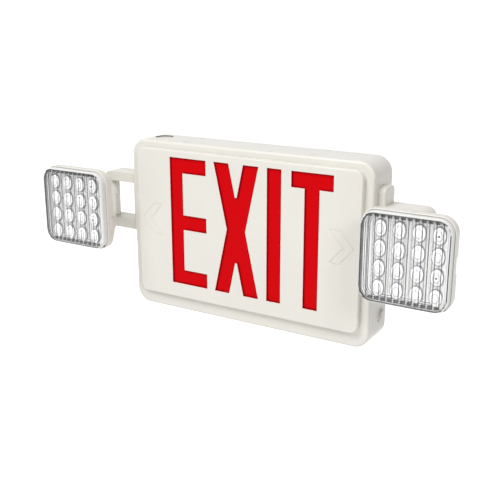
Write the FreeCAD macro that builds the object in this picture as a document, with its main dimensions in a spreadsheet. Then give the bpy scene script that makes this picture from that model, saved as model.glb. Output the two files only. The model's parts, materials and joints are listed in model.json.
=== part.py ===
import FreeCAD, Part
import Sketcher
import math
import os

# Emergency exit light: a stencil-faced, red-lit EXIT box with two adjustable lamp heads
# on side brackets, a battery and its charger inside, and a test button on the right side.
# Frame: X runs along the wall, +Z is up, and the wall is the plane Y = 0 with the light in
# front of it at negative Y.  "Out" below is the distance from the wall, so Y = -out.
# The origin is the middle of the back plate's rear face.

doc = FreeCAD.newDocument("exit_light")
dims = doc.addObject("Spreadsheet::Sheet", "Dims")

driving = {
    # lettering and arrows
    "letterHeight": 152.4,
    "letterStroke": 17.6,
    "letterWidth": 49.7,
    "crossWidth": 58.2,
    "crossLeg": 19.4,
    "crossWaist": 24.1,
    "crossNotchRise": 38.2,
    "crossNotchFlat": 2.4,
    "crossGap": 10.9,
    "letterGap": 12.3,
    "arrowInset": 6.7,
    "arrowRise": 19.0,
    "arrowBack": 30.0,
    "arrowBand": 13.0,
    "arrowGroove": 0.8,
    "arrowDepth": 0.5,
    # raised panel of the cover, by its margins round the lettering
    "panelLeft": 48.55,
    "panelRight": 32.55,
    "panelTop": 7.8,
    "panelFoot": 17.8,
    "panelCorner": 10.0,
    "panelRise": 6.0,
    "panelRound": 1.6,
    # box, by the cover's margins round the raised panel
    "coverSide": 10.6,
    "coverTop": 8.5,
    "coverFoot": 18.0,
    "boxCorner": 18.0,
    "plateThickness": 3.0,
    "seamOut": 37.0,
    "flangeOut": 47.0,
    "coverWall": 2.2,
    "frameWall": 2.8,
    "flangeRound": 3.2,
    "plateRound": 1.2,
    # latches between cover and frame
    "latchSpread": 165.0,
    "latchShift": -1.5,
    "latchWidth": 11.0,
    "latchThickness": 1.6,
    "latchReach": 9.0,
    "notchDepth": 1.4,
    # openings in the frame
    "conduitRadius": 11.1,
    "conduitRecess": 1.7,
    "conduitInset": 26.5,
    "conduitOut": 17.7,
    # back plate
    "wireHoleRadius": 11.1,
    "boxHoleCircle": 88.9,
    "boxHoleRadius": 2.3,
    "keyholeInset": 41.5,
    "keyholeDrop": 40.25,
    "keyholeHead": 5.0,
    "keyholeSlot": 2.6,
    "keyholeRun": 10.0,
    # light box behind the panel
    "lensThickness": 1.5,
    "diffuserThickness": 2.0,
    "fitGap": 0.3,
    "trayDepth": 13.0,
    "trayWall": 1.5,
    "stripHeight": 8.0,
    "stripThickness": 1.2,
    "stripLedSize": 3.5,
    "stripLedHeight": 1.4,
    "stripLedPitch": 26.0,
    # charger board
    "boardWidth": 96.0,
    "boardHeight": 70.0,
    "boardThickness": 1.6,
    "boardInset": 55.8,
    "boardZ": 14.0,
    "postHeight": 7.0,
    "postRadius": 3.2,
    "postInset": 6.0,
    "boardScrewRadius": 1.5,
    "boardScrewHead": 2.8,
    "boardScrewCap": 1.5,
    "transformerWidth": 34.0,
    "transformerHeight": 29.0,
    "transformerDepth": 16.0,
    "transformerX": -19.0,
    "coreOverhang": 4.0,
    "coreRise": 2.0,
    "capacitorRadius": 5.0,
    "capacitorLength": 14.0,
    "capacitorX": 1.0,
    "capacitorZ": -19.0,
    "relayWidth": 19.0,
    "relayHeight": 15.5,
    "relayDepth": 13.5,
    "relayX": 10.5,
    "relayZ": 17.5,
    "terminalWidth": 30.0,
    "terminalHeight": 12.0,
    "terminalDepth": 13.0,
    "terminalX": 22.0,
    "terminalZ": -17.5,
    # battery
    "cellLength": 50.0,
    "cellDiameter": 14.5,
    "cellRound": 6.5,
    "packWidth": 43.5,
    "packInset": 71.8,
    "packZ": 34.0,
    "cradleWall": 1.8,
    "cradleLength": 24.0,
    "strapThickness": 1.5,
    "strapWidth": 12.0,
    "strapFoot": 9.0,
    # side brackets
    "padHeight": 108.5,
    "padThickness": 8.0,
    "bracketDepth": 26.0,
    "bracketOut": 24.0,
    "bracketLift": 21.25,
    "armSpan": 70.0,
    "armThickness": 11.3,
    "padRound": 7.0,
    "armRound": 2.0,
    "panReach": 48.7,
    "armReach": 5.8,
    "armEndRound": 10.0,
    "bracketScrewRadius": 2.0,
    "bracketScrewHead": 4.0,
    "bracketScrewCap": 2.0,
    "bracketScrewDepth": 5.6,
    "bracketScrewSpread": 90.0,
    # pan knuckle and its pin
    "knuckleRadius": 5.6,
    "knuckleGap": 0.4,
    "panPinRadius": 2.5,
    "pinClearance": 0.08,
    "panPinSink": 4.0,
    "tongueWidth": 11.0,
    "tongueRadius": 5.5,
    "tiltForward": 24.0,
    "tiltPinRadius": 2.0,
    "tiltPinHead": 3.4,
    "tiltPinHeadHeight": 1.2,
    # lamp heads
    "headDrop": 1.0,
    "headOffset": 4.0,
    "bezelSize": 95.5,
    "bezelCorner": 16.5,
    "bezelMargin": 1.5,
    "bezelDepth": 9.0,
    "backSize": 62.0,
    "backCorner": 12.0,
    "backDepth": 27.0,
    "backStandoff": 8.0,
    "bezelRound": 1.0,
    "backRound": 2.0,
    "lugThickness": 4.0,
    "lugRadius": 7.0,
    "lugGap": 0.3,
    "clevisBase": 1.8,
    "clevisWidth": 30.0,
    "clevisHeight": 22.0,
    "clevisCorner": 3.0,
    "clevisScrewRadius": 1.5,
    "clevisScrewHead": 2.6,
    "clevisScrewCap": 1.2,
    "clevisScrewSpread": 16.0,
    "sideNotch": 3.2,
    "sideNotchHeight": 18.0,
    "sideNotchReach": 3.0,
    "lampLensCorner": 15.0,
    "lampLensProud": 7.0,
    "lampLensWall": 2.0,
    "lensRound": 1.5,
    "fluteCount": 14,
    "flutePitch": 6.75,
    "fluteDepth": 0.9,
    "fluteWidth": 3.0,
    "fluteRoot": 1.3,
    "lampBoardThickness": 1.6,
    "reflectorDepth": 8.0,
    "cupPitch": 20.25,
    "cupMouth": 9.2,
    "cupThroat": 3.2,
    "lampLedSize": 3.0,
    "lampLedHeight": 1.0,
    "rearPocket": 52.0,
    "rearWall": 3.0,
    # test button and charge indicator
    "buttonOut": 14.0,
    "buttonRise": 31.25,
    "buttonRadius": 5.0,
    "buttonProud": 1.8,
    "buttonStem": 9.0,
    "buttonStemRadius": 2.5,
    "buttonTravel": 1.5,
    "buttonRim": 1.0,
    "collarRadius": 7.5,
    "collarProud": 1.0,
    "collarFlange": 1.2,
    "buttonGap": 0.25,
    "indicatorForward": 7.0,
    "indicatorDrop": 6.1,
    "indicatorRadius": 1.4,
    "indicatorRing": 2.2,
    "indicatorLength": 6.0,
    "switchSize": 9.0,
    "switchDepth": 7.0,
    "switchBore": 5.2,
}


class Size:
    """A length that keeps its number together with the sheet expression that gives it."""

    def __init__(self, number, text):
        self.number = float(number)
        self.text = text

    def __add__(self, other):
        other = asSize(other)
        return Size(self.number + other.number, "(%s + %s)" % (self.text, other.text))

    def __radd__(self, other):
        return asSize(other) + self

    def __sub__(self, other):
        other = asSize(other)
        return Size(self.number - other.number, "(%s - %s)" % (self.text, other.text))

    def __rsub__(self, other):
        return asSize(other) - self

    def __mul__(self, factor):
        return Size(self.number * factor, "(%s * %r)" % (self.text, float(factor)))

    def __truediv__(self, factor):
        return self * (1.0 / factor)

    def __neg__(self):
        return self * -1.0


def asSize(value):
    return value if isinstance(value, Size) else Size(value, repr(float(value)))


class Sheet:
    """The driving sizes by name, as the spreadsheet holds them."""


d = Sheet()
for row, (name, number) in enumerate(driving.items(), start=1):
    dims.set("A%d" % row, name)
    dims.set("B%d" % row, repr(number))
    dims.setAlias("B%d" % row, name)
    setattr(d, name, Size(number, "Dims." + name))
doc.recompute()

# The lettering sets the raised panel, and the panel sets the box.
d.wordWidth = (d.letterWidth * 2 + d.crossWidth + d.letterStroke + d.crossGap * 2
               + d.letterGap)
d.panelWidth = d.wordWidth + d.panelLeft + d.panelRight
d.panelHeight = d.letterHeight + d.panelTop + d.panelFoot
d.boxWidth = d.panelWidth + d.coverSide * 2
d.boxHeight = d.panelHeight + d.coverTop + d.coverFoot
d.panelLift = (d.coverFoot - d.coverTop) / 2
d.letterLift = d.panelLift + (d.panelFoot - d.panelTop) / 2
d.letterShift = (d.panelLeft - d.panelRight) / 2

# The lamp heads hang a little below the middle of their brackets.
d.lampLensSize = d.bezelSize - d.bezelMargin * 2
d.headLift = d.bracketLift - d.headDrop

zero = asSize(0)
nodes = []


def node(obj, label):
    """Label a finished piece, which is written to a file of that name."""
    obj.Label = label
    nodes.append(obj)
    return obj


# ---- PartDesign helpers -------------------------------------------------------------------

def newBody(name):
    return doc.addObject("PartDesign::Body", name)


def sketchAt(body, name, out, x=zero, z=zero, role="XZ_Plane"):
    """A sketch facing the front, at a distance out from the wall, centred on x and z."""
    sketch = body.newObject("Sketcher::SketchObject", name)
    base = next(f for f in body.Origin.OriginFeatures if f.Role == role)
    sketch.AttachmentSupport = (base, [""])
    sketch.MapMode = "FlatFace"
    for axis, size in (("x", x), ("y", z), ("z", out)):
        sketch.setExpression("AttachmentOffset.Base." + axis, asSize(size).text)
    return sketch


def limit(sketch, constraint, size):
    index = sketch.addConstraint(constraint)
    sketch.setExpression("Constraints[%d]" % index, size.text)


def place(sketch, geometry, vertex, x, y):
    """Hold one end of a line at x, y from the sketch's centre."""
    for kind, size, axis in (("DistanceX", asSize(x), -2), ("DistanceY", asSize(y), -1)):
        number = size.number
        if abs(number) < 1e-9:
            sketch.addConstraint(Sketcher.Constraint("PointOnObject", geometry, vertex, axis))
        elif number > 0:
            limit(sketch, Sketcher.Constraint(kind, -1, 1, geometry, vertex, number), size)
        else:
            limit(sketch, Sketcher.Constraint(kind, geometry, vertex, -1, 1, -number), -size)


def polygon(sketch, corners):
    """A closed outline of straight lines through corners given from the sketch's centre."""
    first = sketch.GeometryCount
    points = [FreeCAD.Vector(asSize(x).number, asSize(y).number, 0) for x, y in corners]
    count = len(points)
    for i in range(count):
        sketch.addGeometry(Part.LineSegment(points[i], points[(i + 1) % count]))
    for i in range(count):
        follower = first + (i + 1) % count
        sketch.addConstraint(Sketcher.Constraint("Coincident", first + i, 2, follower, 1))
    for i, (x, y) in enumerate(corners):
        place(sketch, first + i, 1, x, y)


def disc(sketch, radius):
    centre = FreeCAD.Vector(0, 0, 0)
    circle = sketch.addGeometry(Part.Circle(centre, FreeCAD.Vector(0, 0, 1), radius.number))
    sketch.addConstraint(Sketcher.Constraint("Coincident", circle, 3, -1, 1))
    limit(sketch, Sketcher.Constraint("Radius", circle, radius.number), radius)


def rectangle(sketch, width, height):
    w, h = width / 2, height / 2
    polygon(sketch, [(-w, -h), (w, -h), (w, h), (-w, h)])


def roundRect(sketch, width, height, corner):
    """A rectangle with rounded corners, centred on the sketch."""
    w, h, r = width.number / 2, height.number / 2, corner.number
    quarter = 1.5707963267948966
    vector, up = FreeCAD.Vector, FreeCAD.Vector(0, 0, 1)
    sides = [((r - w, -h), (w - r, -h)), ((w, r - h), (w, h - r)),
             ((w - r, h), (r - w, h)), ((-w, h - r), (-w, r - h))]
    middles = [(w - r, r - h), (w - r, h - r), (r - w, h - r), (r - w, r - h)]
    for (ax, ay), (bx, by) in sides:
        sketch.addGeometry(Part.LineSegment(vector(ax, ay, 0), vector(bx, by, 0)))
    for i, (x, y) in enumerate(middles):
        circle = Part.Circle(vector(x, y, 0), up, r)
        sketch.addGeometry(Part.ArcOfCircle(circle, (i - 1) * quarter, i * quarter))
    for i in range(4):
        sketch.addConstraint(Sketcher.Constraint("Tangent", i, 2, 4 + i, 1))
        sketch.addConstraint(Sketcher.Constraint("Tangent", 4 + i, 2, (i + 1) % 4, 1))
    sketch.addConstraint(Sketcher.Constraint("Horizontal", 0))
    sketch.addConstraint(Sketcher.Constraint("Vertical", 1))
    sketch.addConstraint(Sketcher.Constraint("Horizontal", 2))
    sketch.addConstraint(Sketcher.Constraint("Vertical", 3))
    for i in range(1, 4):
        sketch.addConstraint(Sketcher.Constraint("Equal", 4, 4 + i))
    limit(sketch, Sketcher.Constraint("Radius", 4, r), corner)
    limit(sketch, Sketcher.Constraint("DistanceX", -1, 1, 1, 1, w), width / 2)
    limit(sketch, Sketcher.Constraint("DistanceX", 3, 1, -1, 1, w), width / 2)
    limit(sketch, Sketcher.Constraint("DistanceY", -1, 1, 2, 1, h), height / 2)
    limit(sketch, Sketcher.Constraint("DistanceY", 0, 1, -1, 1, h), height / 2)


def pad(body, name, sketch, length, midplane=False):
    feature = body.newObject("PartDesign::Pad", name)
    feature.Profile = sketch
    feature.setExpression("Length", asSize(length).text)
    feature.Midplane = midplane
    doc.recompute()
    return feature


def pocket(body, name, sketch, length, outward=False, midplane=False):
    """Cut towards the wall, or outward from it; the volume has to fall."""
    before = body.Shape.Volume
    feature = body.newObject("PartDesign::Pocket", name)
    feature.Profile = sketch
    feature.setExpression("Length", asSize(length).text)
    feature.Reversed = outward
    feature.Midplane = midplane
    doc.recompute()
    if not body.Shape.Volume < before - 1e-6:
        raise RuntimeError(name + " cuts nothing")
    return feature


def edgesWhere(shape, test):
    """Names of the edges whose middle, length and ends pass the test."""
    return ["Edge%d" % (i + 1) for i, edge in enumerate(shape.Edges) if test(edge)]


def edgeMiddle(edge):
    first, last = edge.ParameterRange
    return edge.valueAt((first + last) / 2)


def atOut(out, tolerance=0.01):
    """Test for an edge that lies wholly at one distance from the wall."""
    y = -asSize(out).number

    def test(edge):
        return all(abs(v.Point.y - y) < tolerance for v in edge.Vertexes) and \
            abs(edgeMiddle(edge).y - y) < tolerance
    return test


def roundOver(body, name, base, radius, test):
    edges = edgesWhere(base.Shape, test)
    feature = body.newObject("PartDesign::Fillet", name)
    feature.Base = (base, edges)
    feature.setExpression("Radius", asSize(radius).text)
    doc.recompute()
    return feature


def slab(name, out, length, width, height, corner, x=zero, z=zero):
    """A body that is one rounded plate facing the front."""
    body = newBody(name)
    sketch = sketchAt(body, name + "_outline", out, x, z)
    roundRect(sketch, width, height, corner)
    pad(body, name + "_pad", sketch, length)
    return body


# ---- Part helpers -------------------------------------------------------------------------

def bindBase(obj, x, y, z):
    for axis, size in (("x", x), ("y", y), ("z", z)):
        obj.setExpression("Placement.Base." + axis, asSize(size).text)


def box(name, x, y, z, width, depth, height):
    """A box by its lowest corner and its sizes along X, Y and Z."""
    obj = doc.addObject("Part::Box", name)
    bindBase(obj, x, y, z)
    for prop, size in (("Length", width), ("Width", depth), ("Height", height)):
        obj.setExpression(prop, asSize(size).text)
    return obj


turns = {
    "+Z": FreeCAD.Rotation(),
    "+X": FreeCAD.Rotation(FreeCAD.Vector(0, 1, 0), 90),
    "-X": FreeCAD.Rotation(FreeCAD.Vector(0, 1, 0), -90),
    "-Y": FreeCAD.Rotation(FreeCAD.Vector(1, 0, 0), 90),
}


def rod(name, x, y, z, axis, radius, length):
    """A cylinder from a point along an axis."""
    obj = doc.addObject("Part::Cylinder", name)
    obj.Placement = FreeCAD.Placement(FreeCAD.Vector(), turns[axis])
    bindBase(obj, x, y, z)
    obj.setExpression("Radius", asSize(radius).text)
    obj.setExpression("Height", asSize(length).text)
    return obj


def cone(name, x, y, z, axis, radius, farRadius, length):
    obj = doc.addObject("Part::Cone", name)
    obj.Placement = FreeCAD.Placement(FreeCAD.Vector(), turns[axis])
    bindBase(obj, x, y, z)
    obj.setExpression("Radius1", asSize(radius).text)
    obj.setExpression("Radius2", asSize(farRadius).text)
    obj.setExpression("Height", asSize(length).text)
    return obj


def fuse(name, pieces):
    obj = doc.addObject("Part::MultiFuse", name)
    obj.Shapes = pieces
    return obj


def group(name, pieces):
    """Separate like pieces kept as one node."""
    obj = doc.addObject("Part::Compound", name)
    obj.Links = pieces
    return obj


def cut(name, base, tools):
    obj = doc.addObject("Part::Cut", name)
    obj.Base = base
    obj.Tool = tools[0] if len(tools) == 1 else fuse(name + "_tools", tools)
    return obj


# ---- the box ------------------------------------------------------------------------------

panelOut = d.flangeOut + d.panelRise
arrowReach = d.panelWidth / 2 - d.arrowInset
panelBack = panelOut - d.coverWall
coverInside = d.flangeOut - d.coverWall - d.seamOut
innerHalfHeight = d.boxHeight / 2 - d.frameWall
latchTop = innerHalfHeight - d.fitGap
conduitX = d.conduitInset - d.boxWidth / 2
keyholeLift = d.boxHeight / 2 - d.keyholeDrop
boardX = d.boardInset - d.boxWidth / 2
packX = d.boxWidth / 2 - d.packInset
buttonZ = d.buttonRise - d.boxHeight / 2
indicatorOut = d.buttonOut + d.indicatorForward
indicatorZ = buttonZ - d.indicatorDrop


def letterCorners():
    """The four letters as outlines from the centre of the word, left to right."""
    h = d.letterHeight / 2
    stroke = d.letterStroke
    left = d.wordWidth / -2
    right = left + d.letterWidth
    e = [(left, -h), (right, -h), (right, stroke - h), (left + stroke, stroke - h),
         (left + stroke, stroke / -2), (right, stroke / -2), (right, stroke / 2),
         (left + stroke, stroke / 2), (left + stroke, h - stroke), (right, h - stroke),
         (right, h), (left, h)]
    left = right + d.crossGap
    right = left + d.crossWidth
    middle = (left + right) / 2
    waist = d.crossWaist / 2
    notch = d.crossNotchRise
    flat = d.crossNotchFlat / 2
    x = [(left, -h), (left + d.crossLeg, -h), (middle - flat, -notch),
         (middle + flat, -notch), (right - d.crossLeg, -h), (right, -h),
         (middle + waist, zero), (right, h), (right - d.crossLeg, h),
         (middle + flat, notch), (middle - flat, notch), (left + d.crossLeg, h),
         (left, h), (middle - waist, zero)]
    left = right + d.crossGap
    right = left + stroke
    i = [(left, -h), (right, -h), (right, h), (left, h)]
    left = right + d.letterGap
    right = left + d.letterWidth
    stem = (left + right) / 2 - stroke / 2
    t = [(stem, -h), (stem + stroke, -h), (stem + stroke, h - stroke),
         (right, h - stroke), (right, h), (left, h), (left, h - stroke), (stem, h - stroke)]
    return {"letterE": e, "letterX": x, "letterI": i, "letterT": t}


def arrowCorners(side, inset=zero):
    """One arrow's outline, or the outline one inset inside it; side is +1 or -1."""
    run, rise = d.arrowBack - d.arrowBand, d.arrowRise
    lean = math.hypot(run.number, rise.number) / rise.number
    slope = run.number / rise.number
    tip, top = arrowReach - inset * lean, rise - inset
    notch = arrowReach - d.arrowBand + inset * lean
    outline = [(tip, zero), (tip - top * slope, top), (notch - top * slope, top),
               (notch, zero), (notch - top * slope, -top), (tip - top * slope, -top)]
    return [(x * side, z) for x, z in outline]


def latchPlaces():
    for sideName, side in (("Left", -0.5), ("Right", 0.5)):
        x = d.latchShift + d.latchSpread * side
        for endName, end in (("Top", 1), ("Bottom", -1)):
            yield sideName + endName, x, end


def makeFrontCover():
    body = newBody("FrontCover")
    rim = sketchAt(body, "coverRim", d.seamOut)
    roundRect(rim, d.boxWidth, d.boxHeight, d.boxCorner)
    flange = pad(body, "coverFlange", rim, d.flangeOut - d.seamOut)
    roundOver(body, "flangeEdge", flange, d.flangeRound, atOut(d.flangeOut))
    face = sketchAt(body, "panelFace", d.flangeOut - d.coverWall, z=d.panelLift)
    roundRect(face, d.panelWidth, d.panelHeight, d.panelCorner)
    panel = pad(body, "panel", face, d.panelRise + d.coverWall)
    roundOver(body, "panelEdge", panel, d.panelRound, atOut(panelOut))

    hollow = sketchAt(body, "flangeHollow", d.seamOut)
    roundRect(hollow, d.boxWidth - d.coverWall * 2, d.boxHeight - d.coverWall * 2,
              d.boxCorner - d.coverWall)
    pocket(body, "flangeInside", hollow, coverInside, outward=True)
    well = sketchAt(body, "panelHollow", d.seamOut, z=d.panelLift)
    roundRect(well, d.panelWidth - d.coverWall * 2, d.panelHeight - d.coverWall * 2,
              d.panelCorner - d.coverWall)
    pocket(body, "panelInside", well, panelBack - d.seamOut, outward=True)

    for name, corners in letterCorners().items():
        outline = sketchAt(body, name + "Outline", panelOut, d.letterShift, d.letterLift)
        polygon(outline, corners)
        pocket(body, name, outline, d.coverWall * 2)
    for name, side in (("rightArrow", 1), ("leftArrow", -1)):
        outer = sketchAt(body, name + "Outline", panelOut, z=d.letterLift)
        polygon(outer, arrowCorners(side))
        pocket(body, name, outer, d.arrowDepth)
        island = sketchAt(body, name + "Island", panelOut - d.arrowDepth, z=d.letterLift)
        polygon(island, arrowCorners(side, d.arrowGroove))
        pad(body, name + "Middle", island, d.arrowDepth)

    for name, x, end in latchPlaces():
        reach = sketchAt(body, "latch" + name, d.seamOut - d.latchReach, x,
                         (latchTop - d.latchThickness / 2) * end)
        rectangle(reach, d.latchWidth, d.latchThickness)
        pad(body, "latchTongue" + name, reach, coverInside + d.latchReach)
        root = sketchAt(body, "latchRoot" + name, d.seamOut,
                        x, (d.boxHeight / 2 - d.coverWall - d.latchThickness / 2) * end)
        rectangle(root, d.latchWidth, d.latchThickness + d.fitGap)
        pad(body, "latchRootPad" + name, root, coverInside)
    return node(body, "front_cover")


def makeHousingFrame():
    body = newBody("HousingFrame")
    ring = sketchAt(body, "frameOutline", d.plateThickness)
    roundRect(ring, d.boxWidth, d.boxHeight, d.boxCorner)
    pad(body, "frameRing", ring, d.seamOut - d.plateThickness)
    inside = sketchAt(body, "frameInside", d.plateThickness)
    roundRect(inside, d.boxWidth - d.frameWall * 2, innerHalfHeight * 2,
              d.boxCorner - d.frameWall)
    pocket(body, "frameHollow", inside, d.seamOut, outward=True)
    for name, x, end in latchPlaces():
        for seam, out in (("Front", d.seamOut - d.notchDepth), ("Rear", d.plateThickness)):
            gap = sketchAt(body, "notch" + name + seam, out, x,
                           (d.boxHeight / 2 - d.frameWall / 4) * end)
            rectangle(gap, d.latchWidth, d.frameWall / 2)
            pocket(body, "notchCut" + name + seam, gap, d.notchDepth, outward=True)
    conduit = sketchAt(body, "conduit", d.boxHeight / 2, conduitX, -d.conduitOut,
                       role="XY_Plane")
    disc(conduit, d.conduitRadius)
    pocket(body, "conduitKnockout", conduit, d.conduitRecess)
    for name, side in (("Right", 1), ("Left", -1)):
        for end in (-0.5, 0.5):
            hole = sketchAt(body, "screw" + name + ("Top" if end > 0 else "Bottom"),
                            d.boxWidth / 2 * side, -d.bracketOut,
                            d.bracketLift + d.bracketScrewSpread * end, role="YZ_Plane")
            disc(hole, d.bracketScrewRadius + d.pinClearance)
            pocket(body, hole.Name + "Hole", hole, d.frameWall * 2, outward=side < 0)
    port = sketchAt(body, "buttonPort", d.boxWidth / 2, -d.buttonOut, buttonZ, role="YZ_Plane")
    disc(port, d.collarRadius - d.collarFlange)
    pocket(body, "buttonPortHole", port, d.frameWall * 2)
    lamp = sketchAt(body, "indicatorPort", d.boxWidth / 2, -indicatorOut, indicatorZ,
                    role="YZ_Plane")
    disc(lamp, d.indicatorRadius + d.pinClearance)
    pocket(body, "indicatorPortHole", lamp, d.frameWall * 2)
    return node(body, "housing_frame")


def boardPosts():
    for x in (-0.5, 0.5):
        for z in (-0.5, 0.5):
            yield (boardX + (d.boardWidth - d.postInset * 2) * x,
                   d.boardZ + (d.boardHeight - d.postInset * 2) * z)


def makeBackPlate():
    body = newBody("BackPlate")
    outline = sketchAt(body, "plateOutline", zero)
    roundRect(outline, d.boxWidth, d.boxHeight, d.boxCorner)
    plate = pad(body, "plate", outline, d.plateThickness)
    roundOver(body, "plateEdge", plate, d.plateRound, atOut(zero))
    wires = sketchAt(body, "wireEntry", d.plateThickness)
    disc(wires, d.wireHoleRadius)
    pocket(body, "wireEntryHole", wires, d.plateThickness)
    reach = d.boxHoleCircle / 2
    for i, (x, z) in enumerate(((reach, zero), (zero, reach), (-reach, zero), (zero, -reach))):
        hole = sketchAt(body, "boxHole%d" % i, d.plateThickness, x, z)
        disc(hole, d.boxHoleRadius)
        pocket(body, "boxHoleCut%d" % i, hole, d.plateThickness)
    for name, side in (("Left", -0.5), ("Right", 0.5)):
        x = (d.boxWidth - d.keyholeInset * 2) * side
        head = sketchAt(body, "keyholeHead" + name, d.plateThickness, x, keyholeLift)
        disc(head, d.keyholeHead)
        pocket(body, "keyholeHeadCut" + name, head, d.plateThickness)
        slot = sketchAt(body, "keyholeSlot" + name, d.plateThickness, x,
                        keyholeLift + d.keyholeRun / 2)
        rectangle(slot, d.keyholeSlot * 2, d.keyholeRun)
        pocket(body, "keyholeSlotCut" + name, slot, d.plateThickness)
        end = sketchAt(body, "keyholeEnd" + name, d.plateThickness, x,
                       keyholeLift + d.keyholeRun)
        disc(end, d.keyholeSlot)
        pocket(body, "keyholeEndCut" + name, end, d.plateThickness)
    for i, (x, z) in enumerate(boardPosts()):
        post = sketchAt(body, "post%d" % i, d.plateThickness, x, z)
        disc(post, d.postRadius)
        pad(body, "postPad%d" % i, post, d.postHeight)
        bore = sketchAt(body, "postBore%d" % i, d.plateThickness + d.postHeight, x, z)
        disc(bore, d.boardScrewRadius + d.pinClearance)
        pocket(body, "postBoreCut%d" % i, bore, d.postHeight)
    for name, side in (("Upper", 0.5), ("Lower", -0.5)):
        wall = sketchAt(body, "cradle" + name, d.plateThickness, packX,
                        d.packZ + (d.packWidth + d.fitGap * 2 + d.cradleWall) * side)
        rectangle(wall, d.cradleLength, d.cradleWall)
        pad(body, "cradleWall" + name, wall, d.cellDiameter)
    return node(body, "back_plate")


# ---- lit panel ----------------------------------------------------------------------------

litWidth = d.panelWidth - d.coverWall * 2 - d.fitGap * 2
litHeight = d.panelHeight - d.coverWall * 2 - d.fitGap * 2
litCorner = d.panelCorner - d.coverWall - d.fitGap
lensOut = panelBack - d.lensThickness
diffuserOut = lensOut - d.diffuserThickness
trayOut = diffuserOut - d.trayDepth


def makeLightBox():
    node(slab("RedLens", lensOut, d.lensThickness, litWidth, litHeight, litCorner,
              z=d.panelLift), "red_lens")
    node(slab("Diffuser", diffuserOut, d.diffuserThickness, litWidth, litHeight, litCorner,
              z=d.panelLift), "diffuser")
    tray = slab("LightTray", trayOut, d.trayDepth, litWidth, litHeight, litCorner,
                z=d.panelLift)
    inside = sketchAt(tray, "trayInside", diffuserOut, z=d.panelLift)
    roundRect(inside, litWidth - d.trayWall * 2, litHeight - d.trayWall * 2,
              litCorner - d.trayWall)
    pocket(tray, "trayHollow", inside, d.trayDepth - d.trayWall)
    node(tray, "light_tray")


def makeLedStrips():
    """A strip of red LEDs along the tray's upper and lower walls, facing each other."""
    length = litWidth - litCorner * 2
    middleOut = diffuserOut - d.trayDepth / 2 + d.trayWall / 2
    count = int(length.number / d.stripLedPitch.number)
    for name, end in (("top", 1), ("bottom", -1)):
        wall = d.panelLift + (litHeight / 2 - d.trayWall) * end
        face = wall - d.stripThickness * end
        low = wall if end < 0 else face
        strip = box("Strip_" + name, length / -2, -middleOut - d.stripHeight / 2, low,
                    length, d.stripHeight, d.stripThickness)
        node(strip, "led_strip_" + name)
        leds = []
        for i in range(count):
            x = d.stripLedPitch * (i - (count - 1) / 2) - d.stripLedSize / 2
            z = face - d.stripLedHeight if end > 0 else face
            leds.append(box("Led_%s_%d" % (name, i), x, -middleOut - d.stripLedSize / 2, z,
                            d.stripLedSize, d.stripLedSize, d.stripLedHeight))
        node(group("StripLeds_" + name, leds), "strip_leds_" + name)


# ---- charger and battery ------------------------------------------------------------------

boardOut = d.plateThickness + d.postHeight
boardFront = boardOut + d.boardThickness


def onBoard(name, x, z, width, height, depth):
    """A box that stands on the board, centred at x and z from the board's centre."""
    return box(name, boardX + x - width / 2, -boardFront - depth, d.boardZ + z - height / 2,
               width, depth, height)


def makeCharger():
    board = box("Board", boardX - d.boardWidth / 2, -boardFront,
                d.boardZ - d.boardHeight / 2, d.boardWidth, d.boardThickness, d.boardHeight)
    holes, screws = [], []
    for i, (x, z) in enumerate(boardPosts()):
        holes.append(rod("BoardHole%d" % i, x, zero, z, "-Y",
                         d.boardScrewRadius + d.pinClearance, boardFront * 2))
        shank = rod("BoardShank%d" % i, x, -d.plateThickness, z, "-Y", d.boardScrewRadius,
                    boardFront - d.plateThickness + d.boardScrewCap)
        head = rod("BoardHead%d" % i, x, -boardFront, z, "-Y", d.boardScrewHead,
                   d.boardScrewCap)
        screws.append(fuse("BoardScrew%d" % i, [shank, head]))
    node(cut("ControlBoard", board, holes), "control_board")
    node(group("BoardScrews", screws), "board_screws")
    winding = onBoard("Winding", d.transformerX, zero,
                      d.transformerWidth - d.coreOverhang * 2, d.transformerHeight,
                      d.transformerDepth - d.coreRise)
    core = onBoard("Core", d.transformerX, zero, d.transformerWidth,
                   d.transformerHeight - d.coreOverhang * 2, d.transformerDepth)
    node(fuse("Transformer", [winding, core]), "transformer")
    node(rod("Capacitor", boardX + d.capacitorX, -boardFront, d.boardZ + d.capacitorZ,
             "-Y", d.capacitorRadius, d.capacitorLength), "capacitor")
    node(onBoard("Relay", d.relayX, d.relayZ, d.relayWidth, d.relayHeight, d.relayDepth),
         "relay")
    node(onBoard("Terminals", d.terminalX, d.terminalZ, d.terminalWidth, d.terminalHeight,
                 d.terminalDepth), "terminal_block")


def makeBattery():
    pack = newBody("BatteryPack")
    section = sketchAt(pack, "packSection", packX - d.cellLength / 2,
                       -d.plateThickness - d.cellDiameter / 2, d.packZ, role="YZ_Plane")
    roundRect(section, d.cellDiameter, d.packWidth, d.cellRound)
    pad(pack, "packPad", section, d.cellLength)
    node(pack, "battery_pack")
    reach = d.packWidth / 2 + d.fitGap * 2 + d.cradleWall
    front = d.plateThickness + d.cellDiameter + d.strapThickness
    x = packX - d.strapWidth / 2
    bridge = box("StrapBridge", x, -front, d.packZ - reach - d.strapThickness,
                 d.strapWidth, d.strapThickness, (reach + d.strapThickness) * 2)
    parts = [bridge]
    for name, end in (("Upper", 1), ("Lower", -1)):
        side = d.packZ + reach * end
        low = side if end > 0 else side - d.strapThickness
        parts.append(box("StrapLeg" + name, x, -front, low, d.strapWidth,
                         front - d.plateThickness, d.strapThickness))
        low = side if end > 0 else side - d.strapFoot
        parts.append(box("StrapFoot" + name, x, -d.plateThickness - d.strapThickness, low,
                         d.strapWidth, d.strapThickness, d.strapFoot))
    node(fuse("BatteryStrap", parts), "battery_strap")


# ---- side brackets and pan pins -----------------------------------------------------------

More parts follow.
